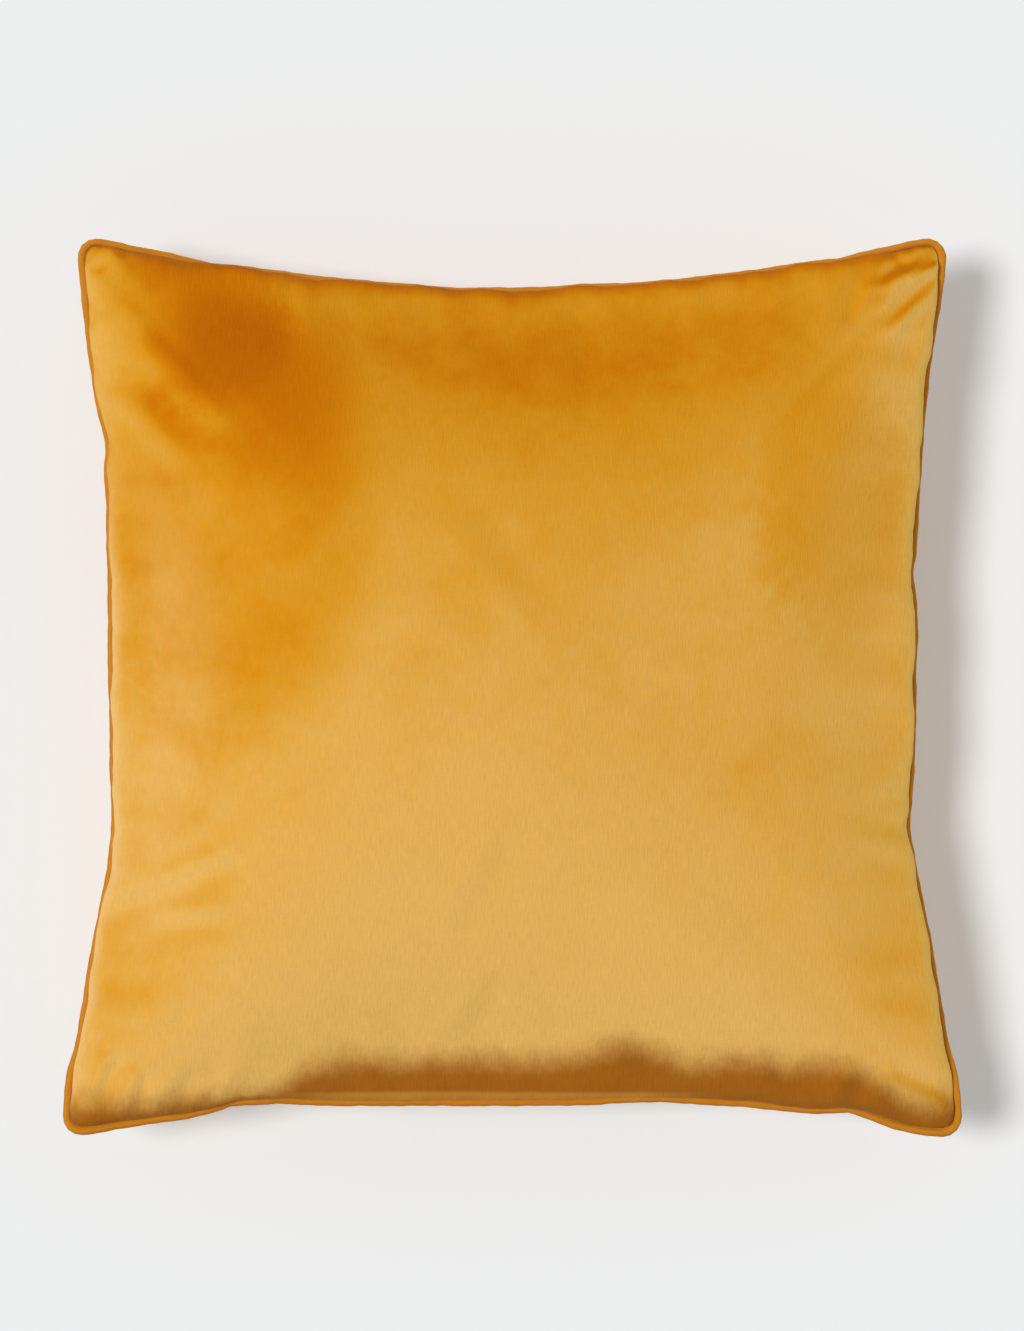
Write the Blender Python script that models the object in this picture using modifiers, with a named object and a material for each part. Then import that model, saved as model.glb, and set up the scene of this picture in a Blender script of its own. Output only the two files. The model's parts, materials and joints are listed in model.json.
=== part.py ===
"""A square throw cushion: a piped velvet cover, zipped in its bottom seam, round a filled inner pad.

The cushion lies on its back. X runs along the bottom seam, Y up the front, Z through the thickness.
The origin is on the surface that it lies on, under the middle. Sizes are in metres.
"""

import math

import bmesh
import bpy
from mathutils import Matrix, Vector

# The filled cover, measured at its seam line
WIDTH = 0.4855  # between the two bottom corners
HEIGHT = 0.4845  # between the top and the bottom corners
TOP_NARROWER = 0.018  # how much closer together the top corners stand
CORNER_RADIUS = 0.009
FRONT_CROWN = 0.086  # the front's height above the seam
BACK_CROWN = 0.082  # the back's depth below the seam, before it flattens where it lies
SEAM_HEIGHT = 0.074  # the seam above the surface that the back lies on
CROWN_POWER = 0.55  # 0.5 gives an elliptical section, 1 a flatter one with a sharp edge
PULL_IN = {"left": 0.0216, "right": 0.0216, "top": 0.0286, "bottom": 0.0175}
SIDE_POWER = 2.1  # how late the left and right edges turn out to the corners
TOP_POWER = 1.9
WAIST = 0.0055  # how much further both sides are drawn in, low down, before they turn out
WAIST_LEVEL, WAIST_REACH = -0.347, 0.19  # its height and its reach, as shares of half the height
BOTTOM_POWER = 0.85

# Cloth and seams
VELVET = 0.0007
CLEARANCE = 0.0003  # between any two pieces that touch
ALLOWANCE = 0.010  # cloth turned in at each seam of the cover
CORD_DIAMETER = 0.0026
THREAD_DIAMETER = 0.0004
SEAM_STITCH_INSET = 0.0048  # from the seam line to the main row of stitches
ZIP_STITCH_INSET = 0.0030  # from each edge along the zip to its tape's stitches
EDGE_LIFT = 0.0042  # how far the turned-in cloth lifts each panel just inside its seam

# Inner pad
CASING = 0.0005
PAD_ALLOWANCE = 0.006
PAD_SLACK = 0.003  # between the pad's crown and the cover
PAD_SETTLED = 0.0015  # how much of the pad's back is flattened where it lies in the cover
FILL_SLACK = 0.001  # between the filling's crown and the casing

# Zip
ZIP_LENGTH = 0.300  # chain, from stop to stop
ZIP_OFFSET = 0.015  # the chain's middle, to the right of the cushion's middle
ZIP_TILT = math.radians(52)  # of the zip's face below the horizontal
ZIP_RUNOUT = 0.012  # over which the back's edge comes back to the seam beyond the tapes
ZIP_REACH = 0.1  # how far in the zip still draws the back's cloth down, as a share of half the height
TAPE = 0.0005
TAPE_END = 0.009
ROW_WIDTH = 0.0015
ROW_HEIGHT = 0.0018
ROW_GAP = 0.0011  # between the two rows, for the slider's post
ROW_ROUNDING = 0.0003
STOP_LENGTH = 0.0028
SLIDER_LENGTH = 0.0095
SLIDER_WALL = 0.0008
SLIDER_SIDE_ROOM = 0.0008  # between the slider and the edges of the zip's slot
BAIL_HEIGHT = 0.0019  # inside the slider's bail
BAIL_WIRE = 0.0006
BAIL_LENGTH = 0.0058
BAIL_WIDTH = 0.0014
PULL_LENGTH = 0.0210
PULL_WIDTH = 0.0050
PULL_THICKNESS = 0.0011
PULL_ROUNDING = 0.00028
PULL_BAR = 0.0009

# Care label, sewn into the left seam
LABEL = 0.0003
LABEL_WIDTH = 0.030
LABEL_BELOW_MIDDLE = 0.10
LABEL_BEND = 0.003  # over which it turns down past the allowance
LABEL_DROP = 0.014

# How finely the cloth is divided
COVER_CELLS = 16
PAD_CELLS = 12
STATION_APART = 0.4  # of a cell: a regular grid line this near to a needed one is left out
FINE = 1e-9

# Sizes that follow from those above
FLANGE_HALF = VELVET + CLEARANCE / 2  # half of the piping's two-ply flange
SEAM_LEVEL = FLANGE_HALF + CLEARANCE  # each panel's seam, from the seam's middle plane
SLEEVE_RADIUS = CORD_DIAMETER / 2 + CLEARANCE + VELVET
PIPING_OUT = SLEEVE_RADIUS + CLEARANCE  # the cord's middle, outside the seam line
ROW_OUTER = ROW_GAP / 2 + ROW_WIDTH
CHANNEL_HALF = ROW_OUTER + 2 * CLEARANCE
CHANNEL_HEIGHT = ROW_HEIGHT + 2 * CLEARANCE
SLIDER_WIDTH = 2 * (CHANNEL_HALF + SLIDER_WALL)
SLIDER_HEIGHT = CHANNEL_HEIGHT + 2 * SLIDER_WALL
SLOT_HALF = SLIDER_WIDTH / 2 + SLIDER_SIDE_ROOM
TAPE_LEVEL = SEAM_LEVEL + TAPE / 2
THREAD_BELOW = SEAM_LEVEL + TAPE + CLEARANCE + THREAD_DIAMETER / 2
ZIP_DROP = (
    THREAD_BELOW
    + THREAD_DIAMETER / 2
    + CLEARANCE
    + SLIDER_HEIGHT / 2 * math.cos(ZIP_TILT)
    - SLIDER_SIDE_ROOM * math.sin(ZIP_TILT)
)
ZIP_FACE = SLOT_HALF + 2 * CLEARANCE  # from the chain's middle to the bend of each tape
ZIP_IN = 2 * CLEARANCE + SLOT_HALF * math.cos(ZIP_TILT)  # the chain's middle, inside the seam
ZIP_DOWN = ZIP_DROP + SLOT_HALF * math.sin(ZIP_TILT)  # and below it
EDGE_IN = ZIP_IN + ZIP_FACE * math.cos(ZIP_TILT)  # the back's edge along the zip
EDGE_DOWN = ZIP_DOWN + ZIP_FACE * math.sin(ZIP_TILT) + TAPE / 2 + CLEARANCE
TAPES_HALF = ZIP_LENGTH / 2 + TAPE_END
STRAIGHT_HALF = (TAPES_HALF + ZIP_OFFSET) / (1 - 2 * ALLOWANCE / WIDTH) - ZIP_OFFSET + 8 * CLEARANCE
PAD_INSET = EDGE_IN + ALLOWANCE + PAD_SLACK
PAD_FRONT_CROWN = FRONT_CROWN - VELVET - CLEARANCE - PAD_SLACK
PAD_BACK_CROWN = SEAM_HEIGHT + PAD_SETTLED
PAD_FLOOR = VELVET + CLEARANCE
FILL_INSET = PAD_INSET + PAD_ALLOWANCE + FILL_SLACK
SLIDER_REST = ZIP_LENGTH / 2 - STOP_LENGTH - SLIDER_LENGTH / 2 - 2 * CLEARANCE
PULL_AXIS = SLIDER_HEIGHT / 2 + BAIL_HEIGHT / 2
PULL_WINDOW = math.hypot(BAIL_LENGTH / 2, BAIL_HEIGHT / 2 + BAIL_WIRE) + CLEARANCE

COLOURS = {
    "velvet": (0.62, 0.28, 0.025),
    "velvet_piping": (0.56, 0.24, 0.02),
    "cotton_cord": (0.72, 0.68, 0.58),
    "cambric": (0.85, 0.84, 0.80),
    "fibre": (0.93, 0.93, 0.92),
    "zip_tape": (0.46, 0.23, 0.03),
    "zip_coil": (0.42, 0.21, 0.03),
    "zip_metal": (0.60, 0.46, 0.25),
    "thread": (0.52, 0.25, 0.03),
    "label": (0.90, 0.90, 0.88),
}
CLOTH_ROUGHNESS = 0.9
ROUGHNESS = {"zip_metal": 0.35, "zip_coil": 0.5, "label": 0.5}


# The cushion's shape. u and v run from -1 to 1 across the plan, with the seam where either is 1 or -1.


def corner_radius_share():
    """The corner radius as a share of the half width."""
    return CORNER_RADIUS / (WIDTH / 2)


def side_stretch():
    """How much shorter a side's path is than its straight length, because its corners are round."""
    return 1 - corner_radius_share() * (1 - math.pi / 4)


def rounded(u, v):
    """A point of the square plan, moved so that each square ring has round corners."""
    ring = max(abs(u), abs(v))
    if ring < FINE:
        return 0.0, 0.0
    radius = corner_radius_share() * ring
    straight = ring - radius
    path = min(abs(u), abs(v)) * side_stretch()
    along, out = path, ring
    if path > straight:
        turn = (path - straight) / radius
        along = straight + radius * math.sin(turn)
        out = straight + radius * math.cos(turn)
    if abs(u) > abs(v):
        along, out = out, along
    return math.copysign(along, u), math.copysign(out, v)


def bottom_pull(across):
    """The bottom edge's pull-in as a share: whole along the zip, and none at the corners."""
    past_zip = abs(across * WIDTH / 2 - ZIP_OFFSET) - STRAIGHT_HALF
    if past_zip <= 0:
        return 1.0
    reach = WIDTH / 2 - math.copysign(ZIP_OFFSET, across) - STRAIGHT_HALF
    return 1 - min(1.0, past_zip / reach) ** BOTTOM_POWER


def plan(u, v):
    """(x, y) of a point of the plan, with the edges pulled in between the corners."""
    across, up = rounded(u, v)
    rightness, height = (1 + across) / 2, (1 + up) / 2
    half_width = WIDTH / 2 - TOP_NARROWER / 2 * height
    side = PULL_IN["left"] * (1 - rightness) + PULL_IN["right"] * rightness
    side *= 1 - abs(up) ** SIDE_POWER
    side += WAIST * abs(across) * math.exp(-(((up - WAIST_LEVEL) / WAIST_REACH) ** 2))
    top = PULL_IN["top"] * height * (1 - abs(across) ** TOP_POWER)
    bottom = PULL_IN["bottom"] * (1 - height) * bottom_pull(across)
    return across * (half_width - side), up * (HEIGHT / 2 - top - bottom)


def crown(u, v):
    """The crown's height as a share: 1 in the middle and 0 at the seam."""
    return (max(0.0, 1 - u * u) * max(0.0, 1 - v * v)) ** CROWN_POWER


def u_at(x):
    """The u of a point of the bottom edge."""
    return x / (WIDTH / 2) / side_stretch()


def zip_stations():
    """Where the straight stretch along the zip begins and ends, and where each run-out does."""
    ends = (STRAIGHT_HALF, STRAIGHT_HALF + ZIP_RUNOUT / 2, STRAIGHT_HALF + ZIP_RUNOUT)
    return [u_at(ZIP_OFFSET + way * end) for way in (-1, 1) for end in ends]


def stations(cells, extra=()):
    """Where the cloth's grid lines lie from -1 to 1: closer together towards the seam."""
    regular = [-math.cos(math.pi * i / cells) for i in range(cells + 1)]
    near = STATION_APART / cells
    kept = [r for r in regular if abs(r) > 1 - FINE or all(abs(r - e) > near for e in extra)]
    return sorted([*kept, *extra])


def seam_y():
    """The bottom seam's y along the zip."""
    return plan(u_at(ZIP_OFFSET), -1)[1]


def outline(cells=COVER_CELLS, extra=()):
    """(u, v) of the stations round the seam, anticlockwise from the bottom left corner."""
    radius, straight = corner_radius_share(), 1 - corner_radius_share()
    turns = [(straight + radius * math.radians(a)) / side_stretch() for a in (0, 15, 30)]

    def side(lines):
        middle = [s for s in lines if abs(s) < turns[0] - radius / 2]
        return [*[-t for t in reversed(turns)], *middle, *turns]

    across, up = side(stations(cells, extra)), side(stations(cells))
    bottom = [(-1, -1), *[(s, -1) for s in across]]
    right = [(1, -1), *[(1, s) for s in up]]
    top = [(1, 1), *[(s, 1) for s in reversed(across)]]
    left = [(-1, 1), *[(-1, s) for s in reversed(up)]]
    return bottom + right + top + left


def outward_normals(points):
    """The outward unit normal at each point of a closed anticlockwise line in the plan."""
    normals = []
    for i, _ in enumerate(points):
        along = Vector(points[(i + 1) % len(points)]) - Vector(points[i - 1])
        normals.append(Vector((along.y, -along.x)).normalized())
    return normals


def ring_at(out, z, line):
    """The points of the loop that runs a distance outside the seam line, or inside if negative."""
    if out < 0:
        scale = 1 + out / (WIDTH / 2)
        return [Vector((*plan(u * scale, v * scale), z)) for u, v in line]
    seam = [plan(u, v) for u, v in line]
    return [
        Vector((x + n.x * out, y + n.y * out, z))
        for (x, y), n in zip(seam, outward_normals(seam), strict=True)
    ]


def between(start, end, x):
    """The point of a straight line where it crosses x."""
    return start.lerp(end, (x - start.x) / (end.x - start.x))


# Building helpers


def clear_scene():
    for obj in list(bpy.data.objects):
        bpy.data.objects.remove(obj, do_unlink=True)


def collection(name, hidden=False):
    made = bpy.data.collections.new(name)
    bpy.context.scene.collection.children.link(made)
    made.hide_render = hidden
    return made


def material(name):
    if name in bpy.data.materials:
        return bpy.data.materials[name]
    made = bpy.data.materials.new(name)
    made.use_nodes = True
    shader = made.node_tree.nodes["Principled BSDF"]
    shader.inputs["Base Color"].default_value = (*COLOURS[name], 1)
    shader.inputs["Roughness"].default_value = ROUGHNESS.get(name, CLOTH_ROUGHNESS)
    shader.inputs["Metallic"].default_value = 1.0 if name == "zip_metal" else 0.0
    return made


def finished(obj, name, finish, into):
    """Names an object, gives it its finish and puts it in its collection."""
    obj.name = name
    obj.data.name = name
    obj.data.materials.append(material(finish))
    for old in list(obj.users_collection):
        old.objects.unlink(obj)
    into.objects.link(obj)
    return obj


def solidified(obj, thickness, offset):
    """Gives an open sheet its thickness: offset -1 puts it behind the sheet's face, 0 both ways."""
    wall = obj.modifiers.new("cloth", "SOLIDIFY")
    wall.thickness = thickness
    wall.offset = offset
    wall.use_even_offset = True
    wall.use_quality_normals = True
    return obj


def box(name, low, high, finish, into, parent=None):
    """A box between two corners, in its parent's frame."""
    low, high = Vector(low), Vector(high)
    bpy.ops.mesh.primitive_cube_add(size=1)
    obj = bpy.context.object
    obj.data.transform(Matrix.Translation((low + high) / 2) @ Matrix.Diagonal((*(high - low), 1)))
    obj.parent = parent
    return finished(obj, name, finish, into)


def combined(obj, other, operation):
    """Adds a Boolean modifier. The other object must stay hidden from the render."""
    change = obj.modifiers.new(other.name, "BOOLEAN")
    change.operation = operation
    change.object = other
    other.hide_render = True
    other.display_type = "WIRE"
    return obj


def rounded_edges(obj, width):
    bevel = obj.modifiers.new("rounding", "BEVEL")
    bevel.width = width
    bevel.segments = 2
    bevel.limit_method = "ANGLE"
    return obj


def line_solid(name, points, diameter, closed, resolution, finish, into):
    """A cord or thread: a curve with a round section along the points."""
    curve = bpy.data.curves.new(name, "CURVE")
    curve.dimensions = "3D"
    curve.bevel_depth = diameter / 2
    curve.bevel_resolution = resolution
    curve.use_fill_caps = not closed
    spline = curve.splines.new("POLY")
    spline.points.add(len(points) - 1)
    spline.use_cyclic_u = closed
    for place, point in zip(spline.points, points, strict=True):
        place.co = (*point, 1)
    obj = bpy.data.objects.new(name, curve)
    bpy.context.scene.collection.objects.link(obj)
    return finished(obj, name, finish, into)


def strip(name, section, half_length, thickness, finish, into):
    """A sheet with a bent section of (y, z) points, which runs along its own X."""
    mesh = bmesh.new()
    start = [mesh.verts.new((-half_length, y, z)) for y, z in section]
    edges = [mesh.edges.new(pair) for pair in zip(start, start[1:], strict=False)]
    made = bmesh.ops.extrude_edge_only(mesh, edges=edges)["geom"]
    moved = [v for v in made if isinstance(v, bmesh.types.BMVert)]
    bmesh.ops.translate(mesh, verts=moved, vec=(2 * half_length, 0, 0))
    data = bpy.data.meshes.new(name)
    mesh.to_mesh(data)
    mesh.free()
    obj = bpy.data.objects.new(name, data)
    bpy.context.scene.collection.objects.link(obj)
    return solidified(finished(obj, name, finish, into), thickness, 0)


# Cloth panels and the pad


def sheet(across, up, fold):
    """A flat grid in u and v, with a strip beyond its edge that a shape turns in."""
    bpy.ops.mesh.primitive_grid_add(x_subdivisions=len(across) - 1, y_subdivisions=len(up) - 1, size=2)
    obj = bpy.context.object
    mesh = bmesh.new()
    mesh.from_mesh(obj.data)
    for vert in mesh.verts:
        column = round((vert.co.x + 1) / 2 * (len(across) - 1))
        row = round((vert.co.y + 1) / 2 * (len(up) - 1))
        vert.co = (across[column], up[row], 0)
    if fold:
        edges = [e for e in mesh.edges if e.is_boundary]
        made = bmesh.ops.extrude_edge_only(mesh, edges=edges)["geom"]
        for vert in made:
            if isinstance(vert, bmesh.types.BMVert):
                vert.co *= 1 + fold
    return obj, mesh


def panel_point(u, v, side, inset, crown_height, level, floor):
    """A point of a panel: its crown, or past the seam the allowance that is turned in."""
    scale = 1 - inset / (WIDTH / 2)
    ring = max(abs(u), abs(v))
    past = max(ring, 1.0)
    turned = (2 - past) / past * scale
    x, y = plan(u * turned, v * turned)
    lift = EDGE_LIFT if ring < 1 - FINE else 0
    height = level + lift + (crown_height - level - lift) * crown(u, v)
    return Vector((x, y, max(floor, SEAM_HEIGHT + side * height)))


def zip_opening(x):
    """1 where the back's edge lies along the zip, and 0 where it is back at the seam."""
    past = (abs(x - ZIP_OFFSET) - STRAIGHT_HALF) / ZIP_RUNOUT
    share = 1 - min(1.0, max(0.0, past))
    return share * share * (3 - 2 * share)


def along_zip(point, u, v):
    """Moves the back's bottom edge, and less so the cloth near it, to the zip's lower side."""
    past = max(abs(v), 1.0)
    edge_x = plan(u / past, v / past)[0]
    share = zip_opening(edge_x) * min(1.0, max(0.0, 1 - (v + 1) / ZIP_REACH))
    shift = Vector((0, EDGE_IN, SEAM_LEVEL - EDGE_DOWN))
    return point + shift * share


def panel(name, side, inset, crown_height, level, floor, cells, allowance, thickness, finish, into):
    """A front (side 1) or back (side -1) panel of the cover or of the pad."""
    zipped = side < 0 and inset == 0
    extra = [] if inset else zip_stations()
    obj, mesh = sheet(stations(cells, extra), stations(cells), allowance / (WIDTH / 2))
    for vert in mesh.verts:
        u, v = vert.co.x, vert.co.y
        vert.co = panel_point(u, v, side, inset, crown_height, level, floor)
        if zipped and abs(v) >= abs(u):
            vert.co = along_zip(vert.co, u, v)
    if side < 0:
        bmesh.ops.reverse_faces(mesh, faces=mesh.faces)
    mesh.to_mesh(obj.data)
    mesh.free()
    return solidified(finished(obj, name, finish, into), thickness, -1)


def filling(into):
    """The loose fibre that fills the pad, as the one plump body that it forms."""
    floor = PAD_FLOOR + CASING + CLEARANCE
    lines = stations(PAD_CELLS)
    obj, mesh = sheet(lines, lines, 0)
    copied = bmesh.ops.duplicate(mesh, geom=mesh.verts[:] + mesh.edges[:] + mesh.faces[:])["geom"]
    back = {v for v in copied if isinstance(v, bmesh.types.BMVert)}
    back_faces = [f for f in copied if isinstance(f, bmesh.types.BMFace)]
    sunk = CASING + FILL_SLACK
    for vert in mesh.verts:
        side, depth = (-1, PAD_BACK_CROWN) if vert in back else (1, PAD_FRONT_CROWN)
        vert.co = panel_point(vert.co.x, vert.co.y, side, FILL_INSET, depth - sunk, 0, floor)
    bmesh.ops.reverse_faces(mesh, faces=back_faces)
    bmesh.ops.remove_doubles(mesh, verts=mesh.verts, dist=CLEARANCE / 10)
    mesh.to_mesh(obj.data)
    mesh.free()
    return finished(obj, "pad_filling", "fibre", into)


def make_cover(into):
    size = {"level": SEAM_LEVEL, "cells": COVER_CELLS, "allowance": ALLOWANCE, "thickness": VELVET}
    panel("front_panel", 1, 0, FRONT_CROWN, floor=0, finish="velvet", into=into, **size)
    panel("back_panel", -1, 0, BACK_CROWN, floor=0, finish="velvet", into=into, **size)


def make_pad(into):
    size = {"level": CLEARANCE / 2, "cells": PAD_CELLS, "allowance": PAD_ALLOWANCE}
    size.update(thickness=CASING, floor=PAD_FLOOR, finish="cambric", into=into)
    panel("pad_casing_front", 1, PAD_INSET, PAD_FRONT_CROWN, **size)
    panel("pad_casing_back", -1, PAD_INSET, PAD_BACK_CROWN, **size)
    filling(into)
    out = CLEARANCE + THREAD_DIAMETER / 2
    seam = ring_at(out - PAD_INSET, SEAM_HEIGHT, outline(PAD_CELLS))
    line_solid("pad_seam_thread", seam, THREAD_DIAMETER, True, 0, "cambric", into)


# Piping


def sleeve_section():
    """The (out, z) outline of the velvet strip wrapped round the cord, its two plies turned in."""
    outer, inner = SLEEVE_RADIUS, SLEEVE_RADIUS - VELVET
    slit = CLEARANCE / 2

    def wrapped(radius, ply, steps):
        start = math.pi - math.asin(ply / radius)
        turns = [start - 2 * start * i / steps for i in range(steps + 1)]
        return [(PIPING_OUT + radius * math.cos(t), radius * math.sin(t)) for t in turns]

    outside = [(-ALLOWANCE, FLANGE_HALF), *wrapped(outer, FLANGE_HALF, 7), (-ALLOWANCE, -FLANGE_HALF)]
    inside = [(-ALLOWANCE, slit), *wrapped(inner, slit, 6), (-ALLOWANCE, -slit)]
    return outside + inside[::-1]


def piping_sleeve(into):
    """The bias strip, from a torus whose section becomes the wrapped strip."""
    section, line = sleeve_section(), outline(extra=zip_stations())
    bpy.ops.mesh.primitive_torus_add(major_segments=len(line), minor_segments=len(section))
    obj = bpy.context.object
    for minor, (out, z) in enumerate(section):
        for major, point in enumerate(ring_at(out, SEAM_HEIGHT + z, line)):
            obj.data.vertices[major * len(section) + minor].co = point
    mesh = bmesh.new()
    mesh.from_mesh(obj.data)
    bmesh.ops.recalc_face_normals(mesh, faces=mesh.faces)
    mesh.to_mesh(obj.data)
    mesh.free()
    return finished(obj, "piping_sleeve", "velvet_piping", into)


def make_piping(into):
    piping_sleeve(into)
    route = ring_at(PIPING_OUT, SEAM_HEIGHT, outline(extra=zip_stations()))
    line_solid("piping_cord", route, CORD_DIAMETER, True, 2, "cotton_cord", into)


# Sewing thread


def make_threads(into):
    """The rows of stitches, each drawn as its thread lying on the cloth's wrong side."""
    on_cloth = SEAM_LEVEL + VELVET + CLEARANCE + THREAD_DIAMETER / 2
    line = outline(extra=zip_stations())
    front = ring_at(-SEAM_STITCH_INSET, SEAM_HEIGHT + on_cloth, line)
    line_solid("seam_thread_front", front, THREAD_DIAMETER, True, 0, "thread", into)

    loop = ring_at(-SEAM_STITCH_INSET, SEAM_HEIGHT - on_cloth, line)
    past = STRAIGHT_HALF + ZIP_RUNOUT + ALLOWANCE
    right, left = ZIP_OFFSET + past, ZIP_OFFSET - past
    start = next(i for i, point in enumerate(loop) if i and point.x > right)
    stop = next(i for i, point in enumerate(loop) if i and point.x > left)
    first = between(loop[start - 1], loop[start], right)
    last = between(loop[stop - 1], loop[stop], left)
    back = [first, *loop[start:], *loop[:stop], last]
    line_solid("seam_thread_back", back, THREAD_DIAMETER, False, 0, "thread", into)

    below_edge = EDGE_DOWN + VELVET + CLEARANCE + THREAD_DIAMETER / 2
    rows = {
        "zip_thread_front": (ZIP_STITCH_INSET, THREAD_BELOW),
        "zip_thread_back": (EDGE_IN + ZIP_STITCH_INSET, below_edge),
    }
    for name, (inside, below) in rows.items():
        ends = [ZIP_OFFSET + way * (TAPES_HALF - CLEARANCE) for way in (-1, 1)]
        route = [Vector((x, seam_y() + inside, SEAM_HEIGHT - below)) for x in ends]
        line_solid(name, route, THREAD_DIAMETER, False, 0, "thread", into)


# Zip


def zip_section(along):
    """(y, z) of a point of the zip's face, a distance along it from the chain's middle."""
    y = seam_y() + ZIP_IN + along * math.cos(ZIP_TILT)
    return y, SEAM_HEIGHT - ZIP_DOWN - along * math.sin(ZIP_TILT)


def make_tapes(into):
    """Each tape runs from its row of the chain to a bend, and then in along the allowance."""
    beside_row = ROW_OUTER + CLEARANCE
    top = SEAM_HEIGHT - TAPE_LEVEL
    bend_y = seam_y() + ZIP_STITCH_INSET - THREAD_DIAMETER / 2 - TAPE / 2 - CLEARANCE / 2
    inner_y = seam_y() + ALLOWANCE
    front = [(inner_y, top), (bend_y, top), zip_section(-ZIP_FACE), zip_section(-beside_row)]
    corner = zip_section(ZIP_FACE)
    back = [(corner[0] + ALLOWANCE, corner[1]), corner, zip_section(beside_row)]
    for name, section in (("zip_tape_front", front), ("zip_tape_back", back)):
        strip(name, section, TAPES_HALF, TAPE, "zip_tape", into).location.x = ZIP_OFFSET


def zip_frame(into, name, x):
    """An empty on the chain's middle: its X runs along the zip, its Y to the piping, its Z out."""
    empty = bpy.data.objects.new(name, None)
    into.objects.link(empty)
    empty.location = (ZIP_OFFSET + x, *zip_section(0))
    empty.rotation_euler = (math.pi - ZIP_TILT, 0, 0)
    return empty


def make_chain(into):
    """The two rows of coil teeth, with the stops at their ends."""
    frame = zip_frame(into, "zip_frame", 0)
    half, tall = ZIP_LENGTH / 2, ROW_HEIGHT / 2
    row_end = half - STOP_LENGTH - CLEARANCE
    for name, way in (("front", 1), ("back", -1)):
        near, far = sorted((way * ROW_GAP / 2, way * ROW_OUTER))
        row = box(f"zip_coil_{name}", (-row_end, near, -tall), (row_end, far, tall), "zip_coil", into, frame)
        rounded_edges(row, ROW_ROUNDING)
        stop_tall = tall + CLEARANCE
        low, high = (half - STOP_LENGTH, near, -stop_tall), (half, far, stop_tall)
        stop = box(f"zip_top_stop_{name}", low, high, "zip_metal", into, frame)
        rounded_edges(stop, ROW_ROUNDING)
    low = (-half, -ROW_OUTER, -stop_tall)
    high = (-half + STOP_LENGTH, ROW_OUTER, stop_tall)
    rounded_edges(box("zip_bottom_stop", low, high, "zip_metal", into, frame), ROW_ROUNDING)


def make_slider(into, cutters):
    """The slider: two plates round the chain, joined by the post between its rows, and a bail."""
    frame = zip_frame(into, "slider_frame", SLIDER_REST)
    half, wide, tall = SLIDER_LENGTH / 2, SLIDER_WIDTH / 2, SLIDER_HEIGHT / 2
    body = box("zip_slider", (-half, -wide, -tall), (half, wide, tall), "zip_metal", into, frame)
    rounded_edges(body, SLIDER_WALL / 2)

    def helper(name, low, high, operation):
        combined(body, box(name, low, high, "zip_metal", cutters, frame), operation)

    through, past = 2 * half, 2 * wide
    inside, gap = CHANNEL_HEIGHT / 2, TAPE / 2 + CLEARANCE
    helper("channel", (-through, -CHANNEL_HALF, -inside), (through, CHANNEL_HALF, inside), "DIFFERENCE")
    helper("tape_slots", (-through, -past, -gap), (through, past, gap), "DIFFERENCE")
    thin, into_plate = ROW_GAP / 2 - CLEARANCE, SLIDER_WALL / 2
    front = half - SLIDER_WALL
    low = (front - SLIDER_LENGTH / 4, -thin, -inside - into_plate)
    helper("post", low, (front, thin, inside + into_plate), "UNION")
    side, top = BAIL_WIDTH / 2, tall + BAIL_HEIGHT
    bail = box(
        "bail",
        (-BAIL_LENGTH / 2, -side, tall - into_plate),
        (BAIL_LENGTH / 2, side, top + BAIL_WIRE),
        "zip_metal",
        cutters,
        frame,
    )
    eye_half = BAIL_LENGTH / 2 - BAIL_WIRE
    eye = box("bail_eye", (-eye_half, -past, tall), (eye_half, past, top), "zip_metal", cutters, frame)
    combined(bail, eye, "DIFFERENCE")
    combined(body, bail, "UNION")


def make_pull(into, cutters):
    """The pull tab, lying back over the closed chain, its bar through the slider's bail."""
    frame = zip_frame(into, "slider_frame_for_pull", SLIDER_REST)
    pivot = bpy.data.objects.new("pull_pivot", None)
    into.objects.link(pivot)
    pivot.parent = frame
    pivot.location = (0, 0, PULL_AXIS)
    half, thin = PULL_WIDTH / 2, PULL_THICKNESS / 2
    bar = PULL_BAR / 2
    tab = box("zip_pull", (-PULL_LENGTH, -half, -thin), (bar, half, thin), "zip_metal", into, pivot)
    rounded_edges(tab, PULL_ROUNDING)
    gap = BAIL_WIDTH / 2 + CLEARANCE
    low, high = (-PULL_WINDOW, -gap, -PULL_LENGTH), (-bar, gap, PULL_LENGTH)
    combined(tab, box("pull_window", low, high, "zip_metal", cutters, pivot), "DIFFERENCE")


# Care label


def make_label(into):
    """A blank satin label, sewn under the back's allowance and hanging inside the cover."""
    v = -LABEL_BELOW_MIDDLE / (HEIGHT / 2)
    foot = Vector(plan(-1, v))
    up_edge = Vector(plan(-1, v / 2)) - foot
    level = SEAM_HEIGHT - SEAM_LEVEL - VELVET - CLEARANCE - LABEL / 2
    beside_thread = SEAM_STITCH_INSET + THREAD_DIAMETER + CLEARANCE
    section = [
        (beside_thread, level),
        (ALLOWANCE, level),
        (ALLOWANCE + LABEL_BEND, level - LABEL_BEND),
        (ALLOWANCE + LABEL_BEND, level - LABEL_DROP),
    ]
    label = strip("care_label", section, LABEL_WIDTH / 2, LABEL, "label", into)
    label.location = (*foot, 0)
    label.rotation_euler.z = math.atan2(up_edge.y, up_edge.x) - math.pi


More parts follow.
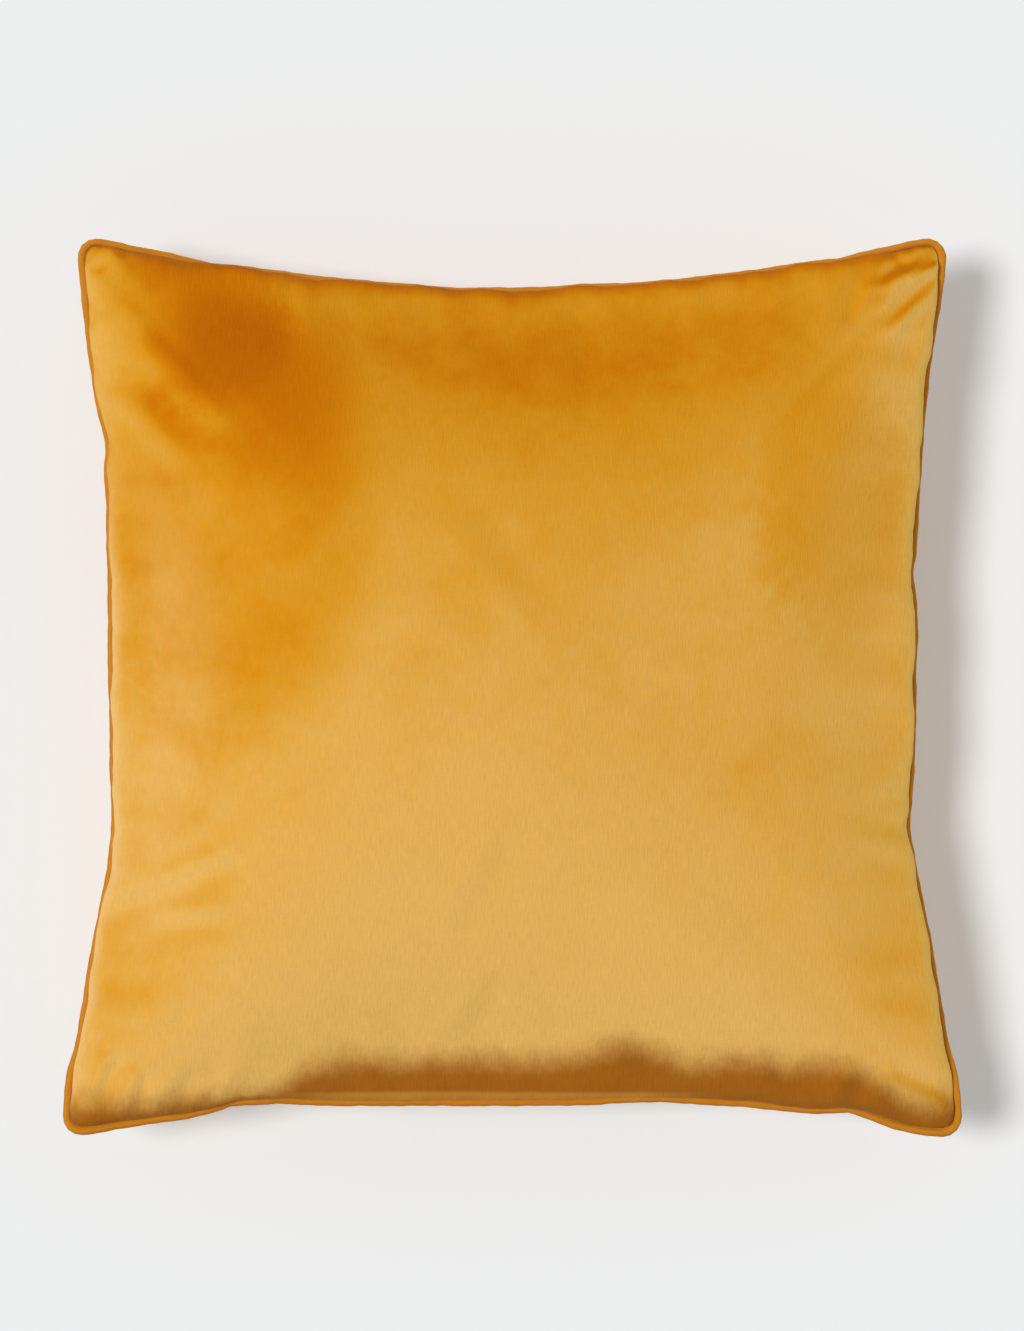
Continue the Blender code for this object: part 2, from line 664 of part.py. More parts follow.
def main():
    clear_scene()
    cushion = collection("throw_cushion")
    cutters = collection("cutters", hidden=True)
    make_cover(cushion)
    make_piping(cushion)
    make_pad(cushion)
    make_threads(cushion)
    make_tapes(cushion)
    make_chain(cushion)
    make_slider(cushion, cutters)
    make_pull(cushion, cutters)
    make_label(cushion)


main()
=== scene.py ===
"""The throw cushion as it looks: a piped velvet cover, zipped in its bottom seam, over a filled pad.

The cover's two faces start as flat cloth, drawn in along their seam and blown up by pressure, and are
then brought to the frame's thickness. The piping, the zip, the pad and the seams are built on the frame.
"""

import json
import logging
import math
from collections.abc import Callable, Sequence
from dataclasses import dataclass, field
from enum import Enum

import bmesh
import bpy
import numpy as np
from mathutils import Matrix, Vector

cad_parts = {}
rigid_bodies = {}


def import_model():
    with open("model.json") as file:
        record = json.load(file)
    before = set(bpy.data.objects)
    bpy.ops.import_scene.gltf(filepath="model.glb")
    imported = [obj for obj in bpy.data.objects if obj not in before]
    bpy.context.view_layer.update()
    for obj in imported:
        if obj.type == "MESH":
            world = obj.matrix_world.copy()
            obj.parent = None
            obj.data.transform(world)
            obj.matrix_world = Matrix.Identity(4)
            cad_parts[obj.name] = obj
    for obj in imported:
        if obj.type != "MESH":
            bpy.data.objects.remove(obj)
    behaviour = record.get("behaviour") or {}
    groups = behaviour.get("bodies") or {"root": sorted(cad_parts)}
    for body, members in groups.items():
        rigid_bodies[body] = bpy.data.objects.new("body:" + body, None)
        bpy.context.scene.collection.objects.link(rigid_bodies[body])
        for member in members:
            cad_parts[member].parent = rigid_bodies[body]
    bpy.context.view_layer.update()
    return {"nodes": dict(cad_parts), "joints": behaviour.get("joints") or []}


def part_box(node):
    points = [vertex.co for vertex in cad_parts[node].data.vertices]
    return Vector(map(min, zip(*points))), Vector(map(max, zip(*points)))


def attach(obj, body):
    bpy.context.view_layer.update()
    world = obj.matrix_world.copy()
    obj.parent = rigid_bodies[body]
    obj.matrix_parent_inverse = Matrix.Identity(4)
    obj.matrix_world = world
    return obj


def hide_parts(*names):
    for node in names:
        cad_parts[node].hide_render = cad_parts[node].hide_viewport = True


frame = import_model()

logging.basicConfig(level=logging.INFO, format="%(name)s: %(message)s")
log = logging.getLogger("cushion")

MM = 0.001
SEED = 7

Colour = tuple[float, float, float]
Socket = bpy.types.NodeSocket


def dyed(red: int, green: int, blue: int) -> Colour:
    """A colour given as 0 to 255 on a screen, as the linear light that a shader takes."""

    def light(level: int) -> float:
        """One channel's linear light."""
        share = level / 255
        return share / 12.92 if share <= 0.04045 else ((share + 0.055) / 1.055) ** 2.4

    return light(red), light(green), light(blue)


# Shader building


class Graph:
    """Adds nodes to one shader tree, with their sockets set or linked as they are made."""

    def __init__(self, tree: bpy.types.NodeTree) -> None:
        """Args: tree: the tree that every node goes into."""
        self.tree = tree

    def put(self, node: bpy.types.Node, socket: str | int, value: object) -> None:
        """Sets a node's input, or links it.

        Args:
            node: the node.
            socket: the input's name or number.
            value: a plain value, or the output socket to link from.
        """
        target = node.inputs[socket]
        if isinstance(value, Socket):
            self.tree.links.new(value, target)
        elif target.type == "RGBA":
            target.default_value = (*value, 1.0)
        else:
            target.default_value = value

    def add(self, kind: str, inputs: dict | None = None, **settings: object) -> bpy.types.Node:
        """Adds a node.

        Args:
            kind: the node's type, without its leading ShaderNode.
            inputs: values or sockets for its inputs, by name or number.
            settings: the node's own settings.

        Returns:
            The node.
        """
        node = self.tree.nodes.new("ShaderNode" + kind)
        for name, value in settings.items():
            setattr(node, name, value)
        for socket, value in (inputs or {}).items():
            self.put(node, socket, value)
        return node

    def maths(self, operation: str, *values: object, clamp: bool = False) -> Socket:
        """The result of a Math node on one, two or three values or sockets."""
        inputs = dict(enumerate(values))
        return self.add("Math", inputs, operation=operation, use_clamp=clamp).outputs[0]

    def total(self, *values: object) -> Socket:
        """The sum of several values or sockets."""
        result = values[0]
        for value in values[1:]:
            result = self.maths("ADD", result, value)
        return result

    def stretched(self, vector: Socket, factors: Sequence[float]) -> Socket:
        """A vector with each of its parts multiplied."""
        inputs = {0: vector, 1: tuple(factors)}
        return self.add("VectorMath", inputs, operation="MULTIPLY").outputs[0]

    def noise(
        self, vector: Socket, scale: object, detail: float = 3.0, rough: float = 0.55, warp: float = 0.0
    ) -> Socket:
        """A noise centred on zero, from about -0.5 to 0.5.

        Args:
            vector: where the noise is read.
            scale: how many of its features fit in a metre.
            detail: how many finer layers it has.
            rough: how strong they are.
            warp: how much it folds over itself.

        Returns:
            The noise's socket.
        """
        inputs = {"Vector": vector, "Scale": scale, "Detail": detail, "Roughness": rough, "Distortion": warp}
        return self.maths("SUBTRACT", self.add("TexNoise", inputs).outputs["Fac"], 0.5)

    def ramp(self, factor: Socket, stops: Sequence[tuple[float, Colour]]) -> Socket:
        """A colour that changes with a value from 0 to 1.

        Args:
            factor: the value.
            stops: the colours and where each lies.

        Returns:
            The colour's socket.
        """
        node = self.add("ValToRGB", {"Fac": factor})
        node.color_ramp.interpolation = "B_SPLINE" if len(stops) > 3 else "LINEAR"
        elements = node.color_ramp.elements
        for i, (place, colour) in enumerate(stops):
            stop = elements[i] if i < 2 else elements.new(place)
            stop.position = place
            stop.color = (*colour, 1.0)
        return node.outputs["Color"]

    def mixed(self, factor: object, first: object, second: object) -> Socket:
        """One colour turned into another by a factor."""
        node = self.add("Mix", data_type="RGBA")
        self.put(node, 0, factor)
        self.put(node, 6, first)
        self.put(node, 7, second)
        return node.outputs[2]

    def faded(
        self, value: Socket, low: float, high: float, to_low: float = 0.0, to_high: float = 1.0
    ) -> Socket:
        """A value moved smoothly from one range to another, and held at its ends."""
        inputs = {0: value, 1: low, 2: high, 3: to_low, 4: to_high}
        return self.add("MapRange", inputs, interpolation_type="SMOOTHSTEP").outputs[0]

    def bump(self, height: Socket, distance: float, strength: float = 1.0) -> Socket:
        """A normal tilted by a height of at most a distance in metres."""
        inputs = {"Height": height, "Distance": distance, "Strength": strength}
        return self.add("Bump", inputs).outputs["Normal"]

    def group(self, tree: bpy.types.NodeTree, **inputs: object) -> bpy.types.Node:
        """Places a shader group, with underscores in an input's name standing for spaces."""
        node = self.add("Group", node_tree=tree)
        for name, value in inputs.items():
            self.put(node, name.replace("_", " "), value)
        return node


class SocketKind(Enum):
    """The kinds of socket that the shader groups have."""

    VALUE = "NodeSocketFloat"
    VECTOR = "NodeSocketVector"
    COLOUR = "NodeSocketColor"


def shader_group(
    name: str,
    inputs: dict[str, SocketKind],
    outputs: dict[str, SocketKind],
    fill: Callable[[Graph, dict[str, Socket]], dict[str, Socket]],
) -> bpy.types.NodeTree:
    """Builds a shader group.

    Args:
        name: the group's name.
        inputs: its inputs and their kinds.
        outputs: its outputs and their kinds.
        fill: makes the nodes between, from the inputs' sockets to the outputs'.

    Returns:
        The group's tree.
    """
    tree = bpy.data.node_groups.new(name, "ShaderNodeTree")
    for way, sockets in (("INPUT", inputs), ("OUTPUT", outputs)):
        for label, kind in sockets.items():
            tree.interface.new_socket(name=label, in_out=way, socket_type=kind.value)
    entry, way_out = tree.nodes.new("NodeGroupInput"), tree.nodes.new("NodeGroupOutput")
    graph = Graph(tree)
    for label, socket in fill(graph, {label: entry.outputs[label] for label in inputs}).items():
        tree.links.new(socket, way_out.inputs[label])
    return tree


def fill_pile(graph: Graph, given: dict[str, Socket]) -> dict[str, Socket]:
    """Cut pile: cloudy patches where it was stroked, threads that show through, and its fine grain."""
    place, cloth = given["Place"], given["Cloth"]
    patches = graph.noise(place, 7.0, detail=5.0, rough=0.62, warp=0.4)
    clouds = graph.noise(place, 26.0, detail=4.0, rough=0.65, warp=0.3)
    mottle = graph.noise(place, 95.0, detail=4.0, rough=0.65)
    soft = graph.total(
        patches, graph.maths("MULTIPLY", clouds, 0.80), graph.maths("MULTIPLY", mottle, 0.62)
    )
    warp_threads = graph.noise(graph.stretched(cloth, (560.0, 62.0, 1.0)), 1.0, detail=2.0)
    weft_threads = graph.noise(graph.stretched(cloth, (70.0, 560.0, 1.0)), 1.0, detail=2.0)
    weft_threads = graph.maths("MULTIPLY", weft_threads, 0.35)
    threads = graph.maths("MULTIPLY", graph.total(warp_threads, weft_threads), given["Threads"])
    tufts = graph.noise(place, 700.0, detail=3.0, rough=0.7)
    grain = graph.total(
        threads, graph.maths("MULTIPLY", tufts, 0.28), graph.maths("MULTIPLY", mottle, 0.45)
    )
    tone = graph.total(
        graph.maths("MULTIPLY", soft, given["Clouding"]), graph.maths("MULTIPLY", threads, 0.10)
    )
    height = graph.total(graph.maths("MULTIPLY", tufts, 0.35), graph.maths("MULTIPLY", threads, 0.9))
    return {"Tone": tone, "Grain": grain, "Height": height}


def fill_weave(graph: Graph, given: dict[str, Socket]) -> dict[str, Socket]:
    """Plain weave: rows of threads across and along, each thread a little thicker or thinner."""
    scaled = graph.add("VectorMath", {0: given["Cloth"]}, operation="SCALE")
    graph.put(scaled, "Scale", given["Threads"])
    parts = graph.add("SeparateXYZ", {0: scaled.outputs[0]})
    across = graph.maths("SINE", parts.outputs["X"])
    along = graph.maths("SINE", parts.outputs["Y"])
    over = graph.maths("MULTIPLY", across, along)
    uneven = graph.noise(given["Cloth"], 240.0, detail=3.0)
    height = graph.total(graph.maths("MULTIPLY", over, 0.5), graph.maths("MULTIPLY", uneven, 0.8))
    return {"Height": height, "Shade": graph.faded(height, -0.6, 0.6)}


def fill_handling(graph: Graph, given: dict[str, Socket]) -> dict[str, Socket]:
    """Handling: fine scratches and dull smears on something that fingers touch."""
    place = given["Place"]
    scratches = graph.noise(graph.stretched(place, (900.0, 5200.0, 5200.0)), 1.0, detail=3.0)
    smears = graph.noise(place, 420.0, detail=3.0, warp=0.6)
    mask = graph.faded(graph.total(scratches, smears), -0.15, 0.35)
    height = graph.total(graph.maths("MULTIPLY", scratches, 0.6), graph.maths("MULTIPLY", smears, 0.4))
    return {"Mask": mask, "Height": height}


VALUE, VECTOR = SocketKind.VALUE, SocketKind.VECTOR
PILE = shader_group(
    "cut_pile",
    {"Place": VECTOR, "Cloth": VECTOR, "Clouding": VALUE, "Threads": VALUE},
    {"Tone": VALUE, "Grain": VALUE, "Height": VALUE},
    fill_pile,
)
WEAVE = shader_group(
    "plain_weave", {"Cloth": VECTOR, "Threads": VALUE}, {"Height": VALUE, "Shade": VALUE}, fill_weave
)
HANDLING = shader_group(
    "handling", {"Place": VECTOR}, {"Mask": VALUE, "Height": VALUE}, fill_handling
)


# Finishes


@dataclass(frozen=True)
class Finish:
    """A material: its name, and how its Principled shader is set where nothing varies it."""

    name: str
    roughness: float = 0.8
    sheen: float = 0.0
    sheen_roughness: float = 0.4
    sheen_tint: Colour = (1.0, 1.0, 1.0)
    metallic: float = 0.0
    specular: float = 0.5

    def dress(self, graph: Graph, shader: bpy.types.Node) -> None:
        """Adds what varies over the surface. Each kind of finish has its own."""
        raise NotImplementedError

    def material(self) -> bpy.types.Material:
        """The finish's material, made the first time that it is asked for."""
        if self.name in bpy.data.materials:
            return bpy.data.materials[self.name]
        made = bpy.data.materials.new(self.name)
        made.use_nodes = True
        shader = made.node_tree.nodes["Principled BSDF"]
        graph = Graph(made.node_tree)
        graph.put(shader, "Roughness", self.roughness)
        graph.put(shader, "Sheen Weight", self.sheen)
        graph.put(shader, "Sheen Roughness", self.sheen_roughness)
        graph.put(shader, "Sheen Tint", self.sheen_tint)
        graph.put(shader, "Metallic", self.metallic)
        graph.put(shader, "Specular IOR Level", self.specular)
        self.dress(graph, shader)
        return made


@dataclass(frozen=True)
class Stroke:
    """A place where the pile was stroked the other way: its middle, its reach and its strength."""

    middle: tuple[float, float]
    reach: tuple[float, float]
    strength: float

    def mask(self, graph: Graph, x: Socket, y: Socket) -> Socket:
        """The stroke's strength at a point, fading smoothly to nothing at its reach."""
        parts = [
            graph.maths("POWER", graph.maths("ABSOLUTE", graph.maths("DIVIDE", offset, reach)), 2.0)
            for offset, reach in (
                (graph.maths("SUBTRACT", x, self.middle[0]), self.reach[0]),
                (graph.maths("SUBTRACT", y, self.middle[1]), self.reach[1]),
            )
        ]
        return graph.faded(graph.total(*parts), 0.15, 1.15, self.strength, 0.0)


@dataclass(frozen=True)
class Velvet(Finish):
    """Cut velvet, whose colour is painted by which way the surface faces: painted light and shade of its
    leaning pile.

    The lean is from the bottom of the cushion to its top, so the colour is painted deep and saturated where
    the surface faces the top of the cushion and light in the lower half. Painted shade darkens a band where
    the cloth turns under at the bottom seam, with a painted sheen just below it, and the left and right
    edges get painted light and shade of their own, a painted sheen on the cover. A band top of 0 leaves the
    painted band out.
    """

    roughness: float = 0.9
    sheen: float = 0.10
    sheen_roughness: float = 0.35
    sheen_tint: Colour = (1.0, 0.80, 0.45)
    specular: float = 0.06
    clouding: float = 0.44
    threads: float = 1.1
    grain: float = 0.24
    tones: tuple[tuple[float, Colour], ...] = ()
    strokes: tuple[Stroke, ...] = ()
    # Painted light and shade for surfaces facing left or right, a painted sheen on the cover.
    left_edge_light_and_shade: Colour = dyed(240, 196, 126)
    right_edge_light_and_shade: Colour = dyed(255, 206, 100)
    # How much brighter surfaces facing right are painted.
    right_painted_light: float = 0.13
    # Painted shade of the band above the bottom seam, the painted sheen below it, and where the band's top
    # and bottom lie.
    turned_under_shade: Colour = dyed(160, 90, 3)
    sheen_lip: Colour = dyed(204, 140, 52)
    shade_band_top: float = -0.1905
    shade_band_bottom: float = -0.2150

    def dress(self, graph: Graph, shader: bpy.types.Node) -> None:
        """The pile's tone, its slow change across the cushion and its grain, with light and shade painted by
        which way the surface faces.
        """
        place = graph.add("TexCoord")
        pile = graph.group(
            PILE,
            Place=place.outputs["Object"],
            Cloth=place.outputs["UV"],
            Clouding=self.clouding,
            Threads=self.threads,
        )
        tone = pile.outputs["Tone"]
        facing = graph.add("SeparateXYZ", {0: place.outputs["Normal"]})
        spot = graph.add("SeparateXYZ", {0: place.outputs["Object"]})
        x, y = spot.outputs["X"], spot.outputs["Y"]
        loose_x = graph.total(x, graph.maths("MULTIPLY", tone, 0.05))
        loose_y = graph.total(y, graph.maths("MULTIPLY", tone, 0.09))
        strokes = [stroke.mask(graph, loose_x, loose_y) for stroke in self.strokes]
        lean = graph.total(facing.outputs["Y"], tone, *strokes)
        # Painted light and shade: the ramp colours the pile by which way the surface faces, deep where it
        # faces the top, light lower down and dark where it turns under.
        colour = graph.ramp(graph.maths("MULTIPLY_ADD", lean, 0.5, 0.5, clamp=True), self.tones)
        # Painted light and shade where the surface faces left or right: a painted sheen on the cover, on the
        # left only lower down.
        across = graph.total(facing.outputs["X"], graph.maths("MULTIPLY", tone, 0.22))
        low_down = graph.faded(y, 0.16, 0.03)
        left_painted_share = graph.maths("MULTIPLY", graph.faded(across, -0.42, -1.0, 0.0, 0.85), low_down)
        colour = graph.mixed(left_painted_share, colour, self.left_edge_light_and_shade)
        colour = graph.mixed(graph.faded(across, 0.40, 0.98, 0.0, 0.90), colour, self.right_edge_light_and_shade)
        # Painted shade of the band where the cloth turns under the bottom seam, with a painted sheen below
        # it.
        if self.shade_band_top:
            colour = self.painted_bottom_shade(graph, colour, x, y, tone)
        # Painted light: surfaces facing right are made brighter.
        right_facing_light = graph.faded(facing.outputs["X"], 0.06, 0.46, 1.0, 1.0 + self.right_painted_light)
        bright = graph.maths("MULTIPLY_ADD", pile.outputs["Grain"], self.grain, right_facing_light)
        scaled = graph.add("VectorMath", {0: colour}, operation="SCALE")
        graph.put(scaled, "Scale", bright)
        graph.put(shader, "Base Color", scaled.outputs[0])
        graph.put(shader, "Normal", graph.bump(pile.outputs["Height"], 0.30 * MM, 0.8))

    def painted_bottom_shade(self, graph: Graph, colour: Socket, x: Socket, y: Socket, tone: Socket) -> Socket:
        """Adds the painted shade of the band above the bottom seam, where the cloth turns under, whose top
        edge wanders, and the painted sheen just below it.
        """
        wander = graph.noise(graph.add("CombineXYZ", {0: x}).outputs[0], 19.0, detail=2.0)
        early = graph.maths("ABSOLUTE", graph.maths("DIVIDE", graph.maths("SUBTRACT", x, 0.062), 0.045))
        early = graph.faded(early, 0.0, 1.0, 0.011, 0.0)
        late_left = graph.faded(x, -0.100, -0.152, 0.0, 0.022)
        late_right = graph.faded(x, 0.180, 0.225, 0.0, 0.024)
        late = graph.total(late_left, late_right)
        level = graph.total(
            y,
            graph.maths("MULTIPLY", early, -1.0),
            late,
            graph.maths("MULTIPLY", tone, 0.026),
            graph.maths("MULTIPLY", wander, 0.020),
        )
        band = graph.faded(level, self.shade_band_top, self.shade_band_bottom)
        sheen_lip = graph.faded(graph.total(y, graph.maths("MULTIPLY", tone, 0.004)), -0.2195, -0.2225, 0.0, 0.75)
        middle = graph.faded(graph.maths("ABSOLUTE", graph.total(x, 0.01)), 0.07, 0.13, 1.0, 0.0)
        dark = graph.mixed(graph.maths("MULTIPLY", sheen_lip, middle), self.turned_under_shade, self.sheen_lip)
        return graph.mixed(graph.maths("MULTIPLY", band, 0.94), colour, dark)


@dataclass(frozen=True)
class Woven(Finish):
    """Plain-woven cloth or tape."""

    thread: Colour = (0.8, 0.8, 0.8)
    # The painted shade where the threads lie lower, between each other.
    gap: Colour = (0.5, 0.5, 0.5)
    threads: float = 900.0
    relief: float = 0.12 * MM

    def dress(self, graph: Graph, shader: bpy.types.Node) -> None:
        """Threads with painted shade where they lie lower, as they cross and as each is thicker or thinner,
        with their relief.
        """
        place = graph.add("TexCoord")
        weave = graph.group(WEAVE, Cloth=place.outputs["Object"], Threads=self.threads)
        graph.put(shader, "Base Color", graph.mixed(weave.outputs["Shade"], self.gap, self.thread))
        graph.put(shader, "Normal", graph.bump(weave.outputs["Height"], self.relief))


@dataclass(frozen=True)
class Twisted(Finish):
    """Thread or cord: fine plies that wind round it."""

    ply: Colour = (0.8, 0.8, 0.8)
    # The painted shade where the plies sink between each other.
    hollow: Colour = (0.5, 0.5, 0.5)
    plies: float = 1800.0

    def dress(self, graph: Graph, shader: bpy.types.Node) -> None:
        """Slanted bands of light and shade, with stray fibres."""
        place = graph.add("TexCoord").outputs["Object"]
        slanted = graph.add("Mapping", {"Vector": place, "Rotation": (0.6, 0.5, 0.8)}).outputs[0]
        band = graph.maths(
            "SINE", graph.maths("MULTIPLY", graph.add("SeparateXYZ", {0: slanted}).outputs["X"], self.plies)
        )
        fuzz = graph.noise(place, 2600.0, detail=3.0)
        height = graph.total(graph.maths("MULTIPLY", band, 0.4), fuzz)
        graph.put(
            shader, "Base Color", graph.mixed(graph.faded(height, -0.5, 0.5), self.hollow, self.ply)
        )
        graph.put(shader, "Normal", graph.bump(height, 0.10 * MM))


@dataclass(frozen=True)
class Fibre(Finish):
    """Loose polyester fibre: white, in soft tangled clumps."""

    light: Colour = (0.9, 0.9, 0.9)
    shade: Colour = (0.7, 0.7, 0.7)

    def dress(self, graph: Graph, shader: bpy.types.Node) -> None:
        """Clumps, and the single fibres that cross them."""
        place = graph.add("TexCoord").outputs["Object"]
        clumps = graph.noise(place, 45.0, detail=4.0, warp=1.2)
        strands = graph.noise(place, 700.0, detail=4.0, rough=0.7, warp=2.0)
        height = graph.total(clumps, graph.maths("MULTIPLY", strands, 0.5))
        graph.put(
            shader, "Base Color", graph.mixed(graph.faded(height, -0.4, 0.4), self.shade, self.light)
        )
        graph.put(shader, "Normal", graph.bump(height, 1.2 * MM))


@dataclass(frozen=True)
class Handled(Finish):
    """Plated metal or moulded nylon: an even colour, dulled and scratched where it is handled."""

    fresh: Colour = (0.8, 0.8, 0.8)
    worn: Colour = (0.6, 0.6, 0.6)
    duller: float = 0.2
    relief: float = 0.02 * MM

    def dress(self, graph: Graph, shader: bpy.types.Node) -> None:
        """Smears in the colour and the gloss, and fine scratches."""
        place = graph.add("TexCoord").outputs["Object"]
        handling = graph.group(HANDLING, Place=place)
        mask = handling.outputs["Mask"]
        rough = graph.maths("MULTIPLY_ADD", mask, self.duller, self.roughness)
        graph.put(shader, "Base Color", graph.mixed(mask, self.fresh, self.worn))
        graph.put(shader, "Roughness", rough)
        graph.put(shader, "Normal", graph.bump(handling.outputs["Height"], self.relief))


# Painted light and shade of the leaning pile, by which way the surface faces: dark where it turns under,
# light in the lower half, deep orange towards the top.
MUSTARD_NAP_LIGHT_AND_SHADE = (
    (0.00, dyed(172, 106, 22)),
    (0.06, dyed(204, 144, 56)),
    (0.13, dyed(232, 182, 96)),
    (0.25, dyed(234, 184, 98)),
    (0.35, dyed(232, 180, 92)),
    (0.46, dyed(230, 174, 80)),
    (0.54, dyed(226, 165, 62)),
    (0.62, dyed(223, 156, 44)),
    (0.70, dyed(220, 149, 30)),
    (0.76, dyed(216, 141, 14)),
    (0.82, dyed(210, 126, 2)),
    (0.88, dyed(206, 117, 0)),
    (0.94, dyed(200, 109, 0)),
    (1.00, dyed(192, 103, 0)),
)
STROKES = (
    Stroke((-0.155, 0.088), (0.088, 0.135), 0.48),
    Stroke((0.174, 0.096), (0.050, 0.080), 0.38),
    Stroke((-0.172, 0.196), (0.060, 0.050), 0.25),
)
VELVET = Velvet(
    "mustard_velvet",
    tones=MUSTARD_NAP_LIGHT_AND_SHADE,
    strokes=STROKES,
)
# The piping's colour is painted light and shade too: lighter where it faces the top, darker where it faces
# the bottom and on the left.
PIPING_VELVET = Velvet(
    "mustard_velvet_bias",
    clouding=0.30,
    left_edge_light_and_shade=dyed(196, 118, 24),
    right_edge_light_and_shade=dyed(216, 134, 34),
    shade_band_top=0.0,
    tones=(
        (0.00, dyed(190, 116, 26)),
        (0.25, dyed(206, 128, 32)),
        (0.50, dyed(216, 142, 40)),
        (0.75, dyed(216, 138, 28)),
        (1.00, dyed(226, 146, 36)),
    ),
)
CORD = Twisted("cotton_filler_cord", ply=dyed(222, 214, 196), hollow=dyed(168, 158, 138), plies=2400.0)
THREAD = Twisted("mustard_sewing_thread", roughness=0.6, ply=dyed(202, 140, 46), hollow=dyed(132, 82, 18))
TAPE = Woven(
    "mustard_zip_tape", thread=dyed(190, 128, 40), gap=dyed(128, 78, 18), threads=5200.0, relief=0.08 * MM
)
CAMBRIC = Woven(
    "white_cambric", thread=dyed(238, 236, 230), gap=dyed(196, 193, 185), threads=4200.0, relief=0.06 * MM
)
SATIN = Woven(
    "white_satin_ribbon",
    roughness=0.42,
    thread=dyed(240, 240, 237),
    gap=dyed(214, 213, 208),
    threads=6800.0,
    relief=0.03 * MM,
)
FIBRE = Fibre("hollow_fibre", roughness=0.95, light=dyed(246, 246, 244), shade=dyed(206, 206, 204))
NYLON = Handled(
    "mustard_nylon_coil", roughness=0.38, fresh=dyed(186, 122, 34), worn=dyed(150, 94, 24), duller=0.25
)
BRASS = Handled(
    "antique_brass_plating",
    roughness=0.28,
    metallic=1.0,
    fresh=dyed(196, 164, 104),
    worn=dyed(138, 108, 62),
    duller=0.30,
)


# Modelling helpers


def deselect() -> None:
    """Leaves object mode's selection empty, with no active object."""
    for obj in bpy.context.view_layer.objects:
        obj.select_set(False)
    bpy.context.view_layer.objects.active = None


def activate(obj: bpy.types.Object) -> bpy.types.Object:
    """Makes an object the one selected and active object, and returns it."""
    deselect()
    obj.select_set(True)
    bpy.context.view_layer.objects.active = obj
    return obj


def coordinates(mesh: bpy.types.Mesh) -> np.ndarray:
    """A mesh's points, one row each."""
    points = np.empty(len(mesh.vertices) * 3)
    mesh.vertices.foreach_get("co", points)
    return points.reshape(-1, 3)


def place_points(mesh: bpy.types.Mesh, points: np.ndarray) -> None:
    """Moves a mesh's points."""
    mesh.vertices.foreach_set("co", points.ravel())
    mesh.update()


def applied(obj: bpy.types.Object, kind: str, **settings: object) -> bpy.types.Object:
    """Adds a modifier and applies it.

    Args:
        obj: the object to change.
        kind: the modifier's type.
        settings: its settings.

    Returns:
        The object.
    """
    activate(obj)
    modifier = obj.modifiers.new(kind.lower(), kind)
    for name, value in settings.items():
        setattr(modifier, name, value)
    bpy.ops.object.modifier_apply(modifier=modifier.name)
    return obj


def repeated(obj: bpy.types.Object, count: int, step: float) -> bpy.types.Object:
    """Copies an object's mesh along X, a step apart."""
    return applied(
        obj,
        "ARRAY",
        count=count,
        use_relative_offset=False,
        use_constant_offset=True,
        constant_offset_displace=(step, 0, 0),
    )


def wire(path: Sequence[Sequence[float]], radius: float, sides: int, curved: bool) -> bpy.types.Object:
    """A round wire through points, with closed ends.

    Args:
        path: the points.
        radius: the wire's radius.
        sides: the bevel's resolution.
        curved: whether it runs as a smooth curve, not straight from point to point.

    Returns:
        The wire as a mesh.
    """
    deselect()
    bpy.ops.curve.primitive_nurbs_path_add()
    obj = bpy.context.object
    curve = obj.data
    curve.splines.clear()
    spline = curve.splines.new("NURBS" if curved else "POLY")
    spline.points.add(len(path) - 1)
    for point, place in zip(spline.points, path, strict=True):
        point.co = (*place, 1)
    if curved:
        spline.use_endpoint_u = True
        spline.order_u = 3
    curve.bevel_depth = radius
    curve.bevel_resolution = sides
    curve.use_fill_caps = True
    activate(obj)
    bpy.ops.object.convert(target="MESH")
    return obj


def smoothed(obj: bpy.types.Object, angle: float | None = None) -> bpy.types.Object:
    """Shades an object smooth, all over or only where its faces meet at less than an angle."""
    activate(obj)
    if angle is None:
        bpy.ops.object.shade_smooth()
    else:
        bpy.ops.object.shade_smooth_by_angle(angle=math.radians(angle))
    return obj


def joined(objects: Sequence[bpy.types.Object]) -> bpy.types.Object:
    """Joins objects into the first of them."""
    activate(objects[0])
    for obj in objects:
        obj.select_set(True)
    bpy.ops.object.join()
    return bpy.context.view_layer.objects.active


def cloth_grid(points: np.ndarray, ticks: np.ndarray) -> bpy.types.Object:
    """A grid mesh in the place that an array of points gives, mapped by its place in the flat cloth.

    Args:
        points: the points, as rows and columns from the bottom left.
        ticks: each row's or column's place in the cloth, from -1 to 1.

    Returns:
        The new object.
    """
    cells = len(ticks) - 1
    deselect()
    bpy.ops.mesh.primitive_grid_add(x_subdivisions=cells, y_subdivisions=cells, size=2)
    obj = bpy.context.object
    place_points(obj.data, points.reshape(-1, 3))
    flat = np.stack(np.meshgrid(ticks, ticks), axis=-1).reshape(-1, 2) / 2 + 0.5
    corners = np.empty(len(obj.data.loops), dtype=np.int32)
    obj.data.loops.foreach_get("vertex_index", corners)
    obj.data.uv_layers[0].data.foreach_set("uv", flat[corners].ravel())
    return obj


